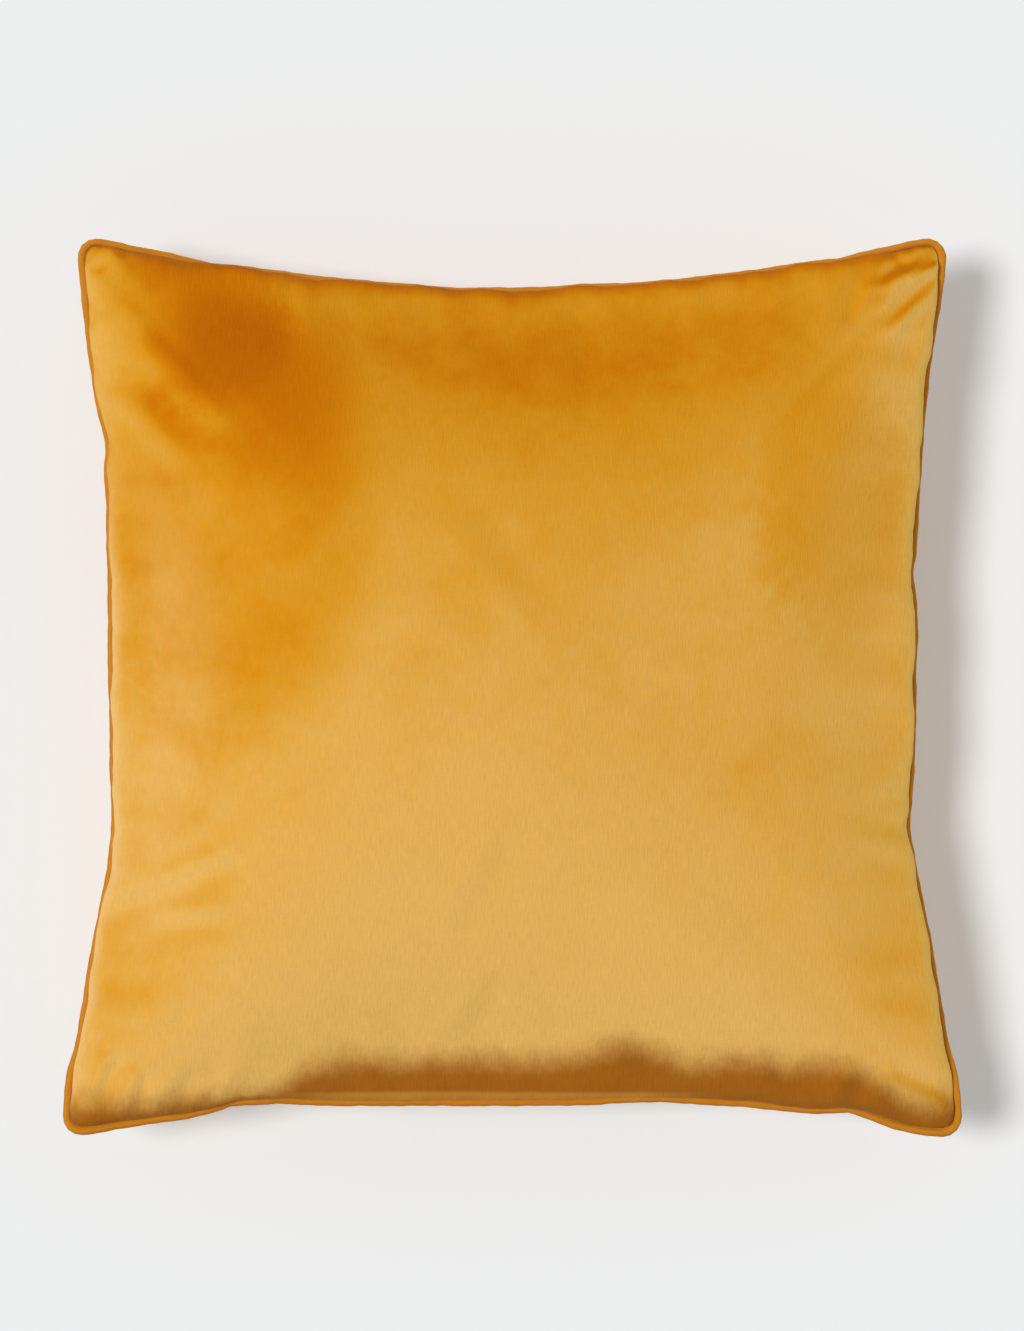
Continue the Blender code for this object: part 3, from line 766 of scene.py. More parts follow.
def loop_tube(rings: np.ndarray) -> bpy.types.Object:
    """A closed tube through rings of points, made from a strip that is joined round and end to end.

    Args:
        rings: an array of (rings, points of the section, 3).

    Returns:
        The new object.
    """
    deselect()
    count, around = rings.shape[:2]
    bpy.ops.mesh.primitive_grid_add(x_subdivisions=around, y_subdivisions=count, size=2)
    obj = bpy.context.object
    rings = np.concatenate([rings, rings[:1]], axis=0)
    rings = np.concatenate([rings, rings[:, :1]], axis=1)
    place_points(obj.data, rings.reshape(-1, 3))
    activate(obj)
    bpy.ops.object.mode_set(mode="EDIT")
    bpy.ops.mesh.select_all(action="SELECT")
    bpy.ops.mesh.remove_doubles(threshold=0.005 * MM)
    bpy.ops.mesh.normals_make_consistent(inside=False)
    bpy.ops.object.mode_set(mode="OBJECT")
    return smoothed(obj)


def finished(
    obj: bpy.types.Object, name: str, finish: Finish, body: str, nodes: Sequence[str]
) -> bpy.types.Object:
    """Names and dresses a piece, parents it to the body that it rides on, and hides the CAD nodes that it
    replaces.

    Args:
        obj: the piece, with its place in its mesh.
        name: its name.
        finish: its finish.
        body: the body that it rides on.
        nodes: the CAD nodes that it replaces.

    Returns:
        The piece.
    """
    obj.name = obj.data.name = name
    obj.data.materials.clear()
    obj.data.materials.append(finish.material())
    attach(obj, body)
    if nodes:
        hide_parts(*nodes)
    log.info("%s: %d faces, rides on %s", name, len(obj.data.polygons), body)
    return obj


def dress_node(node: str, finish: Finish) -> None:
    """Gives a CAD node that keeps its shape a better material."""
    obj = frame["nodes"][node]
    obj.data.materials.clear()
    obj.data.materials.append(finish.material())
    log.info("%s: kept, in %s", node, finish.name)


# The seam line


@dataclass(frozen=True)
class Tuck:
    """A small place along a side where the seam is drawn in, or let out if its depth is negative."""

    side: str
    along: float
    depth: float
    reach: float = 14 * MM


@dataclass(frozen=True)
class SeamLine:
    """The seam round the filled cover, in plan, and how high it lies.

    u and v run from -1 to 1 across the plan, with the seam where either is 1 or -1.
    """

    width: float = 485.5 * MM
    height: float = 484.5 * MM
    top_narrower: float = 18 * MM
    corner_radius: float = 9 * MM
    pull_left: float = 21.6 * MM
    pull_right: float = 21.6 * MM
    pull_top: float = 28.6 * MM
    pull_bottom: float = 17.5 * MM
    side_power: float = 2.1
    top_power: float = 1.9
    bottom_power: float = 0.85
    waist: float = 5.5 * MM
    waist_level: float = -0.347
    waist_reach: float = 0.19
    zip_middle: float = 15 * MM
    zip_straight: float = 169.8 * MM
    tucks: tuple[Tuck, ...] = ()

    @property
    def level(self) -> float:
        """The height of the seam's middle plane."""
        low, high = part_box("piping_cord")
        return (low.z + high.z) / 2

    @property
    def corner_share(self) -> float:
        """The corner radius as a share of the half width."""
        return self.corner_radius / (self.width / 2)

    def rounded(self, u: np.ndarray, v: np.ndarray) -> tuple[np.ndarray, np.ndarray]:
        """Points of the square plan, moved so that each square ring has round corners."""
        share = self.corner_share
        ring = np.maximum(np.maximum(abs(u), abs(v)), 1e-9)
        radius = share * ring
        straight = ring - radius
        path = np.minimum(abs(u), abs(v)) * (1 - share * (1 - math.pi / 4))
        turn = np.maximum(path - straight, 0) / radius
        along = np.where(turn > 0, straight + radius * np.sin(turn), path)
        out = np.where(turn > 0, straight + radius * np.cos(turn), ring)
        wide = abs(u) > abs(v)
        x, y = np.where(wide, out, along), np.where(wide, along, out)
        return np.copysign(x, u), np.copysign(y, v)

    def bottom_pull(self, across: np.ndarray) -> np.ndarray:
        """The bottom edge's pull-in as a share: whole along the zip, and none at the corners."""
        past = abs(across * self.width / 2 - self.zip_middle) - self.zip_straight
        reach = self.width / 2 - np.copysign(self.zip_middle, across) - self.zip_straight
        return 1 - np.clip(past / reach, 0, 1) ** self.bottom_power

    def tucked(self, side: str, along: np.ndarray) -> np.ndarray:
        """How far one side's tucks draw the seam in, at distances along it from its middle."""
        depth = np.zeros_like(along)
        for tuck in self.tucks:
            if tuck.side == side:
                depth += tuck.depth * np.exp(-(((along - tuck.along) / tuck.reach) ** 2))
        return depth

    def plan(self, u: np.ndarray, v: np.ndarray) -> tuple[np.ndarray, np.ndarray]:
        """The place in plan of points given by u and v.

        Args:
            u: from -1 at the left seam to 1 at the right one.
            v: from -1 at the bottom seam to 1 at the top one.

        Returns:
            The x and the y of each point.
        """
        across, up = self.rounded(u, v)
        right, top = (1 + across) / 2, (1 + up) / 2
        half_width = self.width / 2 - self.top_narrower / 2 * top
        side = self.pull_left * (1 - right) + self.pull_right * right
        side = side * (1 - abs(up) ** self.side_power)
        side += self.waist * abs(across) * np.exp(-(((up - self.waist_level) / self.waist_reach) ** 2))
        level = up * self.height / 2
        side += self.tucked("left", level) * (1 - right) ** 6 + self.tucked("right", level) * right**6
        rise = self.pull_top * top * (1 - abs(across) ** self.top_power)
        drop = self.pull_bottom * (1 - top) * self.bottom_pull(across)
        reach = across * self.width / 2
        rise += self.tucked("top", reach) * top**6
        drop += self.tucked("bottom", reach) * (1 - top) ** 6
        return across * (half_width - side), up * (self.height / 2 - rise - drop)

    def loop(self, count: int) -> np.ndarray:
        """Evenly spaced points round the seam, anticlockwise from the bottom left corner.

        Args:
            count: how many points.

        Returns:
            The x and y of each point, one row each.
        """
        step = np.linspace(-1, 1, 1200, endpoint=False)
        ones = np.ones_like(step)
        u = np.concatenate([step, ones, -step, -ones])
        v = np.concatenate([-ones, step, ones, -step])
        dense = np.stack(self.plan(u, v), axis=1)
        dense = np.vstack([dense, dense[:1]])
        far = np.concatenate([[0], np.cumsum(np.linalg.norm(np.diff(dense, axis=0), axis=1))])
        even = np.linspace(0, far[-1], count, endpoint=False)
        return np.stack([np.interp(even, far, dense[:, axis]) for axis in range(2)], axis=1)


def outward(loop: np.ndarray) -> np.ndarray:
    """The outward unit normal at each point of a closed anticlockwise loop in plan."""
    along = np.roll(loop, -1, axis=0) - np.roll(loop, 1, axis=0)
    normal = np.stack([along[:, 1], -along[:, 0]], axis=1)
    return normal / np.linalg.norm(normal, axis=1, keepdims=True)


SEAM = SeamLine(
    tucks=(
        Tuck("left", 190 * MM, -2.2 * MM, 40 * MM),
        Tuck("left", 134 * MM, 2.6 * MM, 14 * MM),
        Tuck("left", 100 * MM, 0.8 * MM, 14 * MM),
        Tuck("left", -20 * MM, 1.0 * MM, 16 * MM),
        Tuck("left", -214 * MM, -2.0 * MM, 12 * MM),
        Tuck("right", 212 * MM, -1.4 * MM, 20 * MM),
        Tuck("right", 62 * MM, 2.0 * MM, 9 * MM),
        Tuck("right", 30 * MM, -1.2 * MM, 14 * MM),
        Tuck("right", -76 * MM, 1.6 * MM, 12 * MM),
        Tuck("right", -216 * MM, -2.2 * MM, 14 * MM),
        Tuck("top", 186 * MM, 1.4 * MM, 10 * MM),
        Tuck("top", -30 * MM, 0.8 * MM, 14 * MM),
        Tuck("top", 40 * MM, -0.9 * MM, 16 * MM),
        Tuck("top", -172 * MM, 1.2 * MM, 14 * MM),
        Tuck("bottom", 168 * MM, -4.2 * MM, 32 * MM),
        Tuck("bottom", 216 * MM, -3.6 * MM, 20 * MM),
        Tuck("bottom", 76 * MM, 2.0 * MM, 30 * MM),
        Tuck("bottom", -176 * MM, -1.6 * MM, 16 * MM),
        Tuck("bottom", -128 * MM, 1.2 * MM, 14 * MM),
    )
)


# The cover


class Side(Enum):
    """The two faces of the cushion, and which way each faces."""

    FRONT = 1
    BACK = -1


@dataclass(frozen=True)
class Crease:
    """A soft fold in the front: a line in plan, with a ridge beside a hollow.

    A crease whose two ends are the same place is a round dimple.
    """

    start: tuple[float, float]
    end: tuple[float, float]
    depth: float
    width: float = 7 * MM

    def lift(self, x: np.ndarray, y: np.ndarray) -> np.ndarray:
        """How far the crease lifts each point, or lowers it if negative."""
        start, run = np.array(self.start), np.array(self.end) - np.array(self.start)
        length = float(np.linalg.norm(run))
        if length < 1e-6:
            away = np.hypot(x - start[0], y - start[1]) / self.width
            return -self.depth * np.exp(-(away**2))
        run = run / length
        along = (x - start[0]) * run[0] + (y - start[1]) * run[1]
        across = ((y - start[1]) * run[0] - (x - start[0]) * run[1]) / self.width
        share = np.clip(along / length, 0, 1)
        past = (along - share * length) / self.width
        fade = np.sin(math.pi * np.clip(0.12 + 0.88 * share, 0, 1)) ** 0.5 * np.exp(-(past**2))
        return self.depth * fade * across * np.exp(0.5 - across**2 / 2)


@dataclass
class Cover:
    """The velvet cover's two faces.

    Each starts as flat cloth, has its seam drawn in to the seam line, and is blown up by pressure.
    """

    cut: float = 491 * MM
    cut_follows: float = 0.60
    cells: int = 96
    frames: int = 30
    drawn_by: int = 12
    pressure: float = 230.0
    steps: int = 6
    point_mass: float = 0.01
    tension: float = 90.0
    compression: float = 45.0
    shear: float = 5.0
    bending: float = 2.5
    damping: float = 2.5
    front_crown: float = 86 * MM
    back_crown: float = 82 * MM
    velvet: float = 0.7 * MM
    turned_in: float = 8 * MM
    seam_gap: float = 1.15 * MM
    zip_clearance: float = 3.9 * MM
    settle: float = 5 * MM
    calm_reach: int = 6
    calm_spread: float = 2.4
    fine_cells: int = 150
    crowding: float = 0.75
    overhang: dict[str, float] = field(
        default_factory=lambda: {"left": 5.1 * MM, "right": 5.3 * MM, "bottom": 3.7 * MM, "top": 6.0 * MM}
    )
    overhang_reach: float = 5 * MM
    shoulder: float = 6 * MM
    shoulder_reach: float = 10 * MM
    pucker: float = 1.1 * MM
    pucker_reach: float = 16 * MM
    seed: int = SEED
    faces: dict[Side, np.ndarray] = field(default_factory=dict)
    creases: tuple[Crease, ...] = (
        Crease((-0.216, -0.120), (-0.146, -0.088), 2.6 * MM, 6 * MM),
        Crease((-0.206, -0.104), (-0.160, -0.076), 1.6 * MM, 6 * MM),
        Crease((-0.190, -0.126), (-0.150, -0.122), 1.2 * MM, 5 * MM),
        Crease((-0.238, -0.206), (-0.227, -0.186), 1.6 * MM, 4 * MM),
        Crease((-0.226, -0.224), (-0.216, -0.200), 2.0 * MM, 4 * MM),
        Crease((-0.206, -0.229), (-0.201, -0.207), 1.8 * MM, 3.5 * MM),
        Crease((-0.189, -0.226), (-0.174, -0.205), 1.8 * MM, 4.5 * MM),
        Crease((-0.152, -0.222), (-0.147, -0.205), 1.4 * MM, 4 * MM),
        Crease((-0.212, 0.188), (-0.156, 0.136), 1.8 * MM, 9 * MM),
        Crease((-0.214, 0.154), (-0.178, 0.116), 1.4 * MM, 6 * MM),
        Crease((0.230, 0.232), (0.196, 0.217), 2.2 * MM, 2.6 * MM),
        Crease((0.227, 0.221), (0.203, 0.194), 2.2 * MM, 2.6 * MM),
        Crease((0.212, 0.230), (0.197, 0.206), 1.5 * MM, 2.4 * MM),
        Crease((0.226, 0.214), (0.212, 0.160), 1.4 * MM, 5 * MM),
        Crease((0.196, 0.226), (0.184, 0.196), 1.6 * MM, 4.5 * MM),
        Crease((0.236, -0.228), (0.204, -0.208), 1.6 * MM, 4.5 * MM),
        Crease((0.180, -0.222), (0.198, -0.200), 1.6 * MM, 5 * MM),
        Crease((0.212, -0.058), (0.212, -0.058), 3.0 * MM, 9 * MM),
        Crease((0.218, -0.086), (0.190, -0.076), 1.2 * MM, 5 * MM),
        Crease((-0.030, -0.128), (0.000, -0.070), 0.7 * MM, 7 * MM),
        Crease((-0.030, -0.190), (-0.008, -0.150), 0.8 * MM, 6 * MM),
        Crease((0.012, 0.040), (-0.030, 0.100), 0.7 * MM, 9 * MM),
        Crease((-0.110, 0.060), (-0.060, 0.120), 0.6 * MM, 8 * MM),
    )

    def zip_share(self, x: np.ndarray) -> np.ndarray:
        """1 where the back's bottom edge lies along the zip, and 0 where it is at the seam."""
        past = (abs(x - SEAM.zip_middle) - SEAM.zip_straight) / (12 * MM)
        share = 1 - np.clip(past, 0, 1)
        return share * share * (3 - 2 * share)

    def zip_edge(self) -> tuple[float, float]:
        """Where the back's bottom edge lies along the zip: its y, and how far it is below the seam plane."""
        low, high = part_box("zip_tape_back")
        return high.y - 10 * MM, SEAM.level - low.z + 0.3 * MM

    def seam_points(self, side: Side, u: np.ndarray, v: np.ndarray) -> np.ndarray:
        """Where each point of the cloth's edge is sewn, with z as the distance from the seam plane."""
        x, y = SEAM.plan(u, v)
        points = np.stack([x, y, np.full_like(x, self.seam_gap)], axis=1)
        if side is Side.BACK:
            share = self.zip_share(x) * (v <= -abs(u))
            edge_y, below = self.zip_edge()
            points[:, 1] += share * (edge_y - y)
            points[:, 2] += share * (below - self.seam_gap)
        return points

    def cloth(self, side: Side) -> bpy.types.Object:
        """The cut cloth: a flat square grid whose shape key holds where its seam is drawn to."""
        deselect()
        bpy.ops.mesh.primitive_grid_add(x_subdivisions=self.cells, y_subdivisions=self.cells, size=2)
        obj = bpy.context.object
        plan = coordinates(obj.data)
        u, v = plan[:, 0], plan[:, 1]
        square = np.stack(SEAM.rounded(u, v), axis=1) * self.cut / 2
        drawn_in = np.stack(SEAM.plan(u, v), axis=1) * self.cut / SEAM.width
        flat = np.zeros((len(u), 3))
        flat[:, :2] = square + (drawn_in - square) * self.cut_follows
        sewn = self.seam_points(side, u, v)
        place_points(obj.data, flat)
        obj.shape_key_add(name="cut")
        drawn = obj.shape_key_add(name="drawn_in")
        drawn.data.foreach_set("co", sewn.ravel())
        edge = np.flatnonzero(np.maximum(abs(u), abs(v)) > 1 - 1e-6)
        obj.vertex_groups.new(name="seam").add(edge.tolist(), 1.0, "REPLACE")
        return obj

    def blown_up(self, side: Side) -> bpy.types.Object:
        """Runs the cloth's simulation and keeps its last frame as a plain mesh."""
        obj = self.cloth(side)
        drawn = obj.data.shape_keys.key_blocks["drawn_in"]
        drawn.value = 0.0
        drawn.keyframe_insert("value", frame=1)
        drawn.value = 1.0
        drawn.keyframe_insert("value", frame=self.drawn_by)
        modifier = obj.modifiers.new("cloth", "CLOTH")
        modifier.point_cache.frame_start, modifier.point_cache.frame_end = 1, self.frames
        modifier.collision_settings.use_collision = False
        modifier.collision_settings.use_self_collision = False
        settings = modifier.settings
        settings.effector_weights.gravity = 0
        settings.quality = self.steps
        settings.mass = self.point_mass
        settings.vertex_group_mass = "seam"
        settings.use_pressure = True
        settings.uniform_pressure_force = self.pressure
        settings.tension_stiffness = self.tension
        settings.compression_stiffness = self.compression
        settings.shear_stiffness = self.shear
        settings.bending_stiffness = self.bending
        for kind in ("tension_damping", "compression_damping", "shear_damping"):
            setattr(settings, kind, self.damping)
        for number in range(1, self.frames + 1):
            bpy.context.scene.frame_set(number)
        graph = bpy.context.evaluated_depsgraph_get()
        mesh = bpy.data.meshes.new_from_object(obj.evaluated_get(graph))
        bpy.data.objects.remove(obj)
        bpy.context.scene.frame_set(1)
        result = bpy.data.objects.new("face", mesh)
        bpy.context.scene.collection.objects.link(result)
        return result

    @property
    def ticks(self) -> np.ndarray:
        """The fine grid's rows, from -1 to 1, crowded towards the seam."""
        even = np.linspace(-1, 1, self.fine_cells + 1)
        return even * (1 - self.crowding) + self.crowding * np.sin(even * math.pi / 2)

    def calmed(self, grid: np.ndarray) -> np.ndarray:
        """Evens out the gathers that surplus cloth leaves, by averaging heights along the nearest side."""
        ticks = np.linspace(-1, 1, self.cells + 1)
        u, v = np.meshgrid(ticks, ticks)
        weights = np.exp(-0.5 * (np.arange(-self.calm_reach, self.calm_reach + 1) / self.calm_spread) ** 2)
        weights /= weights.sum()
        high = grid[:, :, 2]
        even = []
        for axis in range(2):
            edges = [(self.calm_reach, self.calm_reach) if i == axis else (0, 0) for i in range(2)]
            wide = np.pad(high, edges, mode="edge")
            rows = np.arange(self.cells + 1)
            even.append(sum(w * np.take(wide, rows + i, axis=axis) for i, w in enumerate(weights)))
        share = np.clip((abs(v) - abs(u)) * 3 + 0.5, 0, 1)
        calm = even[1] * share + even[0] * (1 - share)
        fade = np.clip((0.93 - np.minimum(abs(u), abs(v))) / 0.15, 0, 1)
        fade *= np.clip((1 - np.maximum(abs(u), abs(v))) * 40, 0, 1)
        result = grid.copy()
        result[:, :, 2] = high + (calm - high) * fade
        return result

    def refined(self, points: np.ndarray) -> np.ndarray:
        """The simulated grid, read smoothly at the fine grid's rows and columns."""
        grid = self.calmed(points.reshape(self.cells + 1, self.cells + 1, 3))
        for _ in range(2):
            grid = np.concatenate([2 * grid[:1] - grid[1:2], grid, 2 * grid[-1:] - grid[-2:-1]])
            place = (self.ticks + 1) / 2 * self.cells
            cell = np.clip(place.astype(int), 0, self.cells - 1)
            f = (place - cell)[:, None, None]
            weights = (
                (-f + 2 * f**2 - f**3) / 2,
                (2 - 5 * f**2 + 3 * f**3) / 2,
                (f + 4 * f**2 - 3 * f**3) / 2,
                (f**3 - f**2) / 2,
            )
            grid = sum(weight * grid[cell + i] for i, weight in enumerate(weights))
            grid = grid.transpose(1, 0, 2)
        return grid.reshape(-1, 3)

    def shaped(self, side: Side, points: np.ndarray) -> np.ndarray:
        """Brings a blown-up face to its crown, and adds what the seam, the hand and the floor do to it.

        Args:
            side: which face.
            points: the fine grid's points, with z as the distance from the seam plane.

        Returns:
            The points in place.
        """
        u, v = np.stack(np.meshgrid(self.ticks, self.ticks), axis=-1).reshape(-1, 2).T
        crown = self.front_crown if side is Side.FRONT else self.back_crown
        from_seam = (1 - np.maximum(abs(u), abs(v))) * SEAM.width / 2
        scale = (crown - self.seam_gap) / (points[:, 2].max() - self.seam_gap)
        taller = (points[:, 2] - self.seam_gap) * (scale - 1)
        height = points[:, 2] + taller * np.clip(from_seam / (8 * MM), 0, 1)
        x, y = points[:, 0], points[:, 1]
        wide = abs(u) > abs(v)
        sides = np.where(wide, np.where(u < 0, 0, 1), np.where(v < 0, 2, 3))
        ripple = self.rippled(np.where(wide, y, x), sides)
        corner = np.clip((1.93 - abs(u) - abs(v)) / 0.22, 0, 1)
        corner = corner * corner * (3 - 2 * corner)
        near = from_seam / self.pucker_reach * np.exp(1 - from_seam / self.pucker_reach)
        height = height - self.pucker * near * (ripple + 0.4) * corner
        along_zip = self.zip_share(x) * (v < -abs(u)) * (side is Side.BACK)
        rise = from_seam / self.shoulder_reach
        height = height + self.shoulder * rise * np.exp(1 - rise) * (0.3 + 0.7 * corner) * (1 - along_zip)
        if side is Side.FRONT:
            fade = np.clip(from_seam / (5 * MM), 0, 1)
            for crease in self.creases:
                height = height + crease.lift(x, y) * fade
        reach = from_seam / self.overhang_reach
        push = np.array([self.overhang[name] for name in ("left", "right", "bottom", "top")])[sides]
        push = push * reach * np.exp(1 - reach) * (1 + 0.22 * ripple) * (0.6 + 0.4 * corner)
        push = push * (1 - 0.8 * along_zip)
        x = x + push * wide * np.sign(u)
        y = y + push * ~wide * np.sign(v)
        z = SEAM.level + side.value * height
        if side is Side.BACK:
            z = (z + np.sqrt(z * z + self.settle**2)) / 2
            z = z - z.min() * np.clip(1 - z / SEAM.level, 0, 1)
            return self.clear_of_zip(np.stack([x, y, z], axis=1))
        return np.stack([x, y, z], axis=1)

    def clear_of_zip(self, points: np.ndarray) -> np.ndarray:
        """Holds the back's velvet beside the zip, so that the pull swings over without touching it."""
        place = ZipPlace()
        across = np.array(place.across)
        too_near = (points - np.array(place.middle)) @ across + self.zip_clearance
        moved = np.maximum(too_near, 0) * self.zip_share(points[:, 0])
        return points - moved[:, None] * across

    def rippled(self, along: np.ndarray, sides: np.ndarray) -> np.ndarray:
        """Uneven ripples along the seam, from about -1 to 1, different on each of its four sides.

        Args:
            along: the distance along the side.
            sides: the number of the side that each point is on.

        Returns:
            The ripple at each point.
        """
        ripple = np.zeros_like(along)
        for waves, share in ((31, 0.30), (47, 0.26), (83, 0.26), (131, 0.18)):
            shift = np.random.default_rng(self.seed + waves).uniform(0, 2 * math.pi, 8)
            bend = 1.1 * np.sin(along * 21 + shift[0])
            ripple += share * np.sin(along * waves * 1.9 + bend + shift[sides])
        return ripple * 1.4

    def turn_in(self, obj: bpy.types.Object) -> None:
        """Turns the cloth in at its seam, by a strip that runs back between the cover's layers."""
        activate(obj)
        bpy.ops.object.mode_set(mode="EDIT")
        bpy.ops.mesh.select_all(action="DESELECT")
        bpy.ops.mesh.select_mode(type="EDGE")
        bpy.ops.mesh.select_non_manifold()
        bpy.ops.mesh.extrude_edges_move()
        bpy.ops.object.mode_set(mode="OBJECT")
        chosen = np.array([vert.select for vert in obj.data.vertices])
        points = coordinates(obj.data)
        inner = points[chosen]
        inner[:, :2] *= 1 - self.turned_in / (SEAM.width / 2)
        points[chosen] = inner
        place_points(obj.data, points)

    def face(self, side: Side) -> bpy.types.Object:
        """Builds one face of the cover."""
        obj = self.blown_up(side)
        points = self.shaped(side, self.refined(coordinates(obj.data)))
        bpy.data.objects.remove(obj)
        self.faces[side] = points
        obj = cloth_grid(points, self.ticks)
        if side is Side.BACK:
            obj.data.flip_normals()
        self.turn_in(obj)
        applied(obj, "SOLIDIFY", thickness=self.velvet, offset=-1)
        return smoothed(obj)

    def build(self) -> None:
        """Builds and dresses both faces."""
        for side, node in ((Side.FRONT, "front_panel"), (Side.BACK, "back_panel")):
            obj = self.face(side)
            finished(obj, f"velvet_{side.name.lower()}", VELVET, "cushion", [node])


# Piping


@dataclass
class Piping:
    """Bias-cut velvet wrapped round a cotton cord, with its two plies turned in at the seam."""

    cord: float = 2.6 * MM
    velvet: float = 0.7 * MM
    gap: float = 0.3 * MM
    turned_in: float = 9 * MM
    points: int = 760
    around: int = 18
    seed: int = SEED

    @property
    def radius(self) -> float:
        """The sleeve's outer radius."""
        return self.cord / 2 + self.gap + self.velvet

    def section(self) -> np.ndarray:
        """The wrapped strip's outline, as rows of (distance outside the seam, height)."""
        ply, slit = self.velvet + self.gap / 2, self.gap / 2
        middle = self.radius + self.gap

        def wrapped(radius: float, level: float) -> list[tuple[float, float]]:
            """The arc round the cord, from one ply to the other."""
            start = math.pi - math.asin(level / radius)
            turns = np.linspace(start, -start, self.around)
            return [(middle + radius * math.cos(t), radius * math.sin(t)) for t in turns]

        outside = [(-self.turned_in, ply), *wrapped(self.radius, ply), (-self.turned_in, -ply)]
        inside = [(-self.turned_in, slit), *wrapped(self.radius - self.velvet, slit)]
        return np.array([*outside, *reversed([*inside, (-self.turned_in, -slit)])])

    def ripple(self) -> np.ndarray:
        """How much thicker or thinner the bias strip wraps at each ring."""
        random = np.random.default_rng(self.seed)
        turn = np.linspace(0, 2 * math.pi, self.points, endpoint=False)
        waves = (31, 57, 83, 127, 211)
        return 1 + 0.035 * sum(np.sin(turn * count + random.uniform(0, 6.3)) for count in waves) / 2.2

    def sleeve(self) -> bpy.types.Object:
        """The velvet sleeve: a long strip of cloth, closed round its section and round the seam."""
        section = self.section()
        loop = SEAM.loop(self.points)
        normal = outward(loop)
        swell = self.ripple()
        rings = np.zeros((self.points, len(section), 3))
        for i, (out, high) in enumerate(section):
            if out < -self.turned_in / 2:
                rings[:, i, :2] = loop * (1 - self.turned_in / (SEAM.width / 2))
                rings[:, i, 2] = SEAM.level + high
                continue
            rings[:, i, :2] = loop + normal * (out * swell)[:, None]
            rings[:, i, 2] = SEAM.level + high * swell
        return loop_tube(rings)

    def twisted(self, radius: float, out: float, level: float, count: int, lobes: int) -> bpy.types.Object:
        """A twisted cord or thread that follows the seam.

        Args:
            radius: its outer radius.
            out: how far outside the seam line its middle runs.
            level: how far above the seam plane it runs.
            count: its rings.
            lobes: its plies.

        Returns:
            The cord's object.
        """
        loop = SEAM.loop(count)
        normal = outward(loop)
        around = 4 * lobes
        angles = np.linspace(0, 2 * math.pi, around, endpoint=False)
        far = np.arange(count)[:, None] / count
        twist = 2 * math.pi * round(count / 9) * far
        wave = radius * (0.88 + 0.12 * np.cos(lobes * angles[None, :] - twist * lobes))
        middle = loop + normal * out
        side = wave * np.cos(angles)[None, :]
        rings = np.zeros((count, around, 3))
        rings[:, :, :2] = middle[:, None, :] + normal[:, None, :] * side[:, :, None]
        rings[:, :, 2] = SEAM.level + level + wave * np.sin(angles)[None, :]
        return loop_tube(rings)

    def build(self) -> None:
        """Builds and dresses the sleeve, the cord inside it, and the thread that sews each face to it."""
        finished(
            self.sleeve(), "velvet_piping", PIPING_VELVET, "cushion", ["piping_sleeve"]
        )
        cord = self.twisted(self.cord / 2, self.radius + self.gap, 0.0, 1100, 3)
        finished(cord, "filler_cord", CORD, "cushion", ["piping_cord"])
        for side in Side:
            node = f"seam_thread_{side.name.lower()}"
            thread = self.twisted(0.2 * MM, -4.8 * MM, side.value * 2.2 * MM, 700, 2)
            finished(thread, f"seam_stitching_{side.name.lower()}", THREAD, "cushion", [node])


# Zip


@dataclass
class ZipPlace:
    """Where the zip lies. Its own X runs along it, its Y across it to the piping, and its Z out."""

    middle: Vector = field(init=False)
    across: Vector = field(init=False)
    out: Vector = field(init=False)
    half: float = field(init=False)

    def __post_init__(self) -> None:
        """Reads the place from the frame's coil rows and from the pull's joint."""
        low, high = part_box("zip_coil_front")
        low_back, high_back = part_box("zip_coil_back")
        joint = next(j for j in frame["joints"] if j["name"] == "pull_swing")
        self.across = Vector(joint["axis"]).normalized()
        self.out = Vector((1, 0, 0)).cross(self.across)
        self.middle = (low + high + low_back + high_back) / 4
        self.half = (high.x - low.x) / 2

    def matrix(self, along: float = 0.0, out: float = 0.0) -> Matrix:
        """The move from a piece's own place to one along the zip and out from it."""
        spot = self.middle + Vector((along, 0, 0)) + self.out * out
        turn = Matrix((Vector((1, 0, 0)), self.across, self.out)).transposed().to_4x4()
        return Matrix.Translation(spot) @ turn


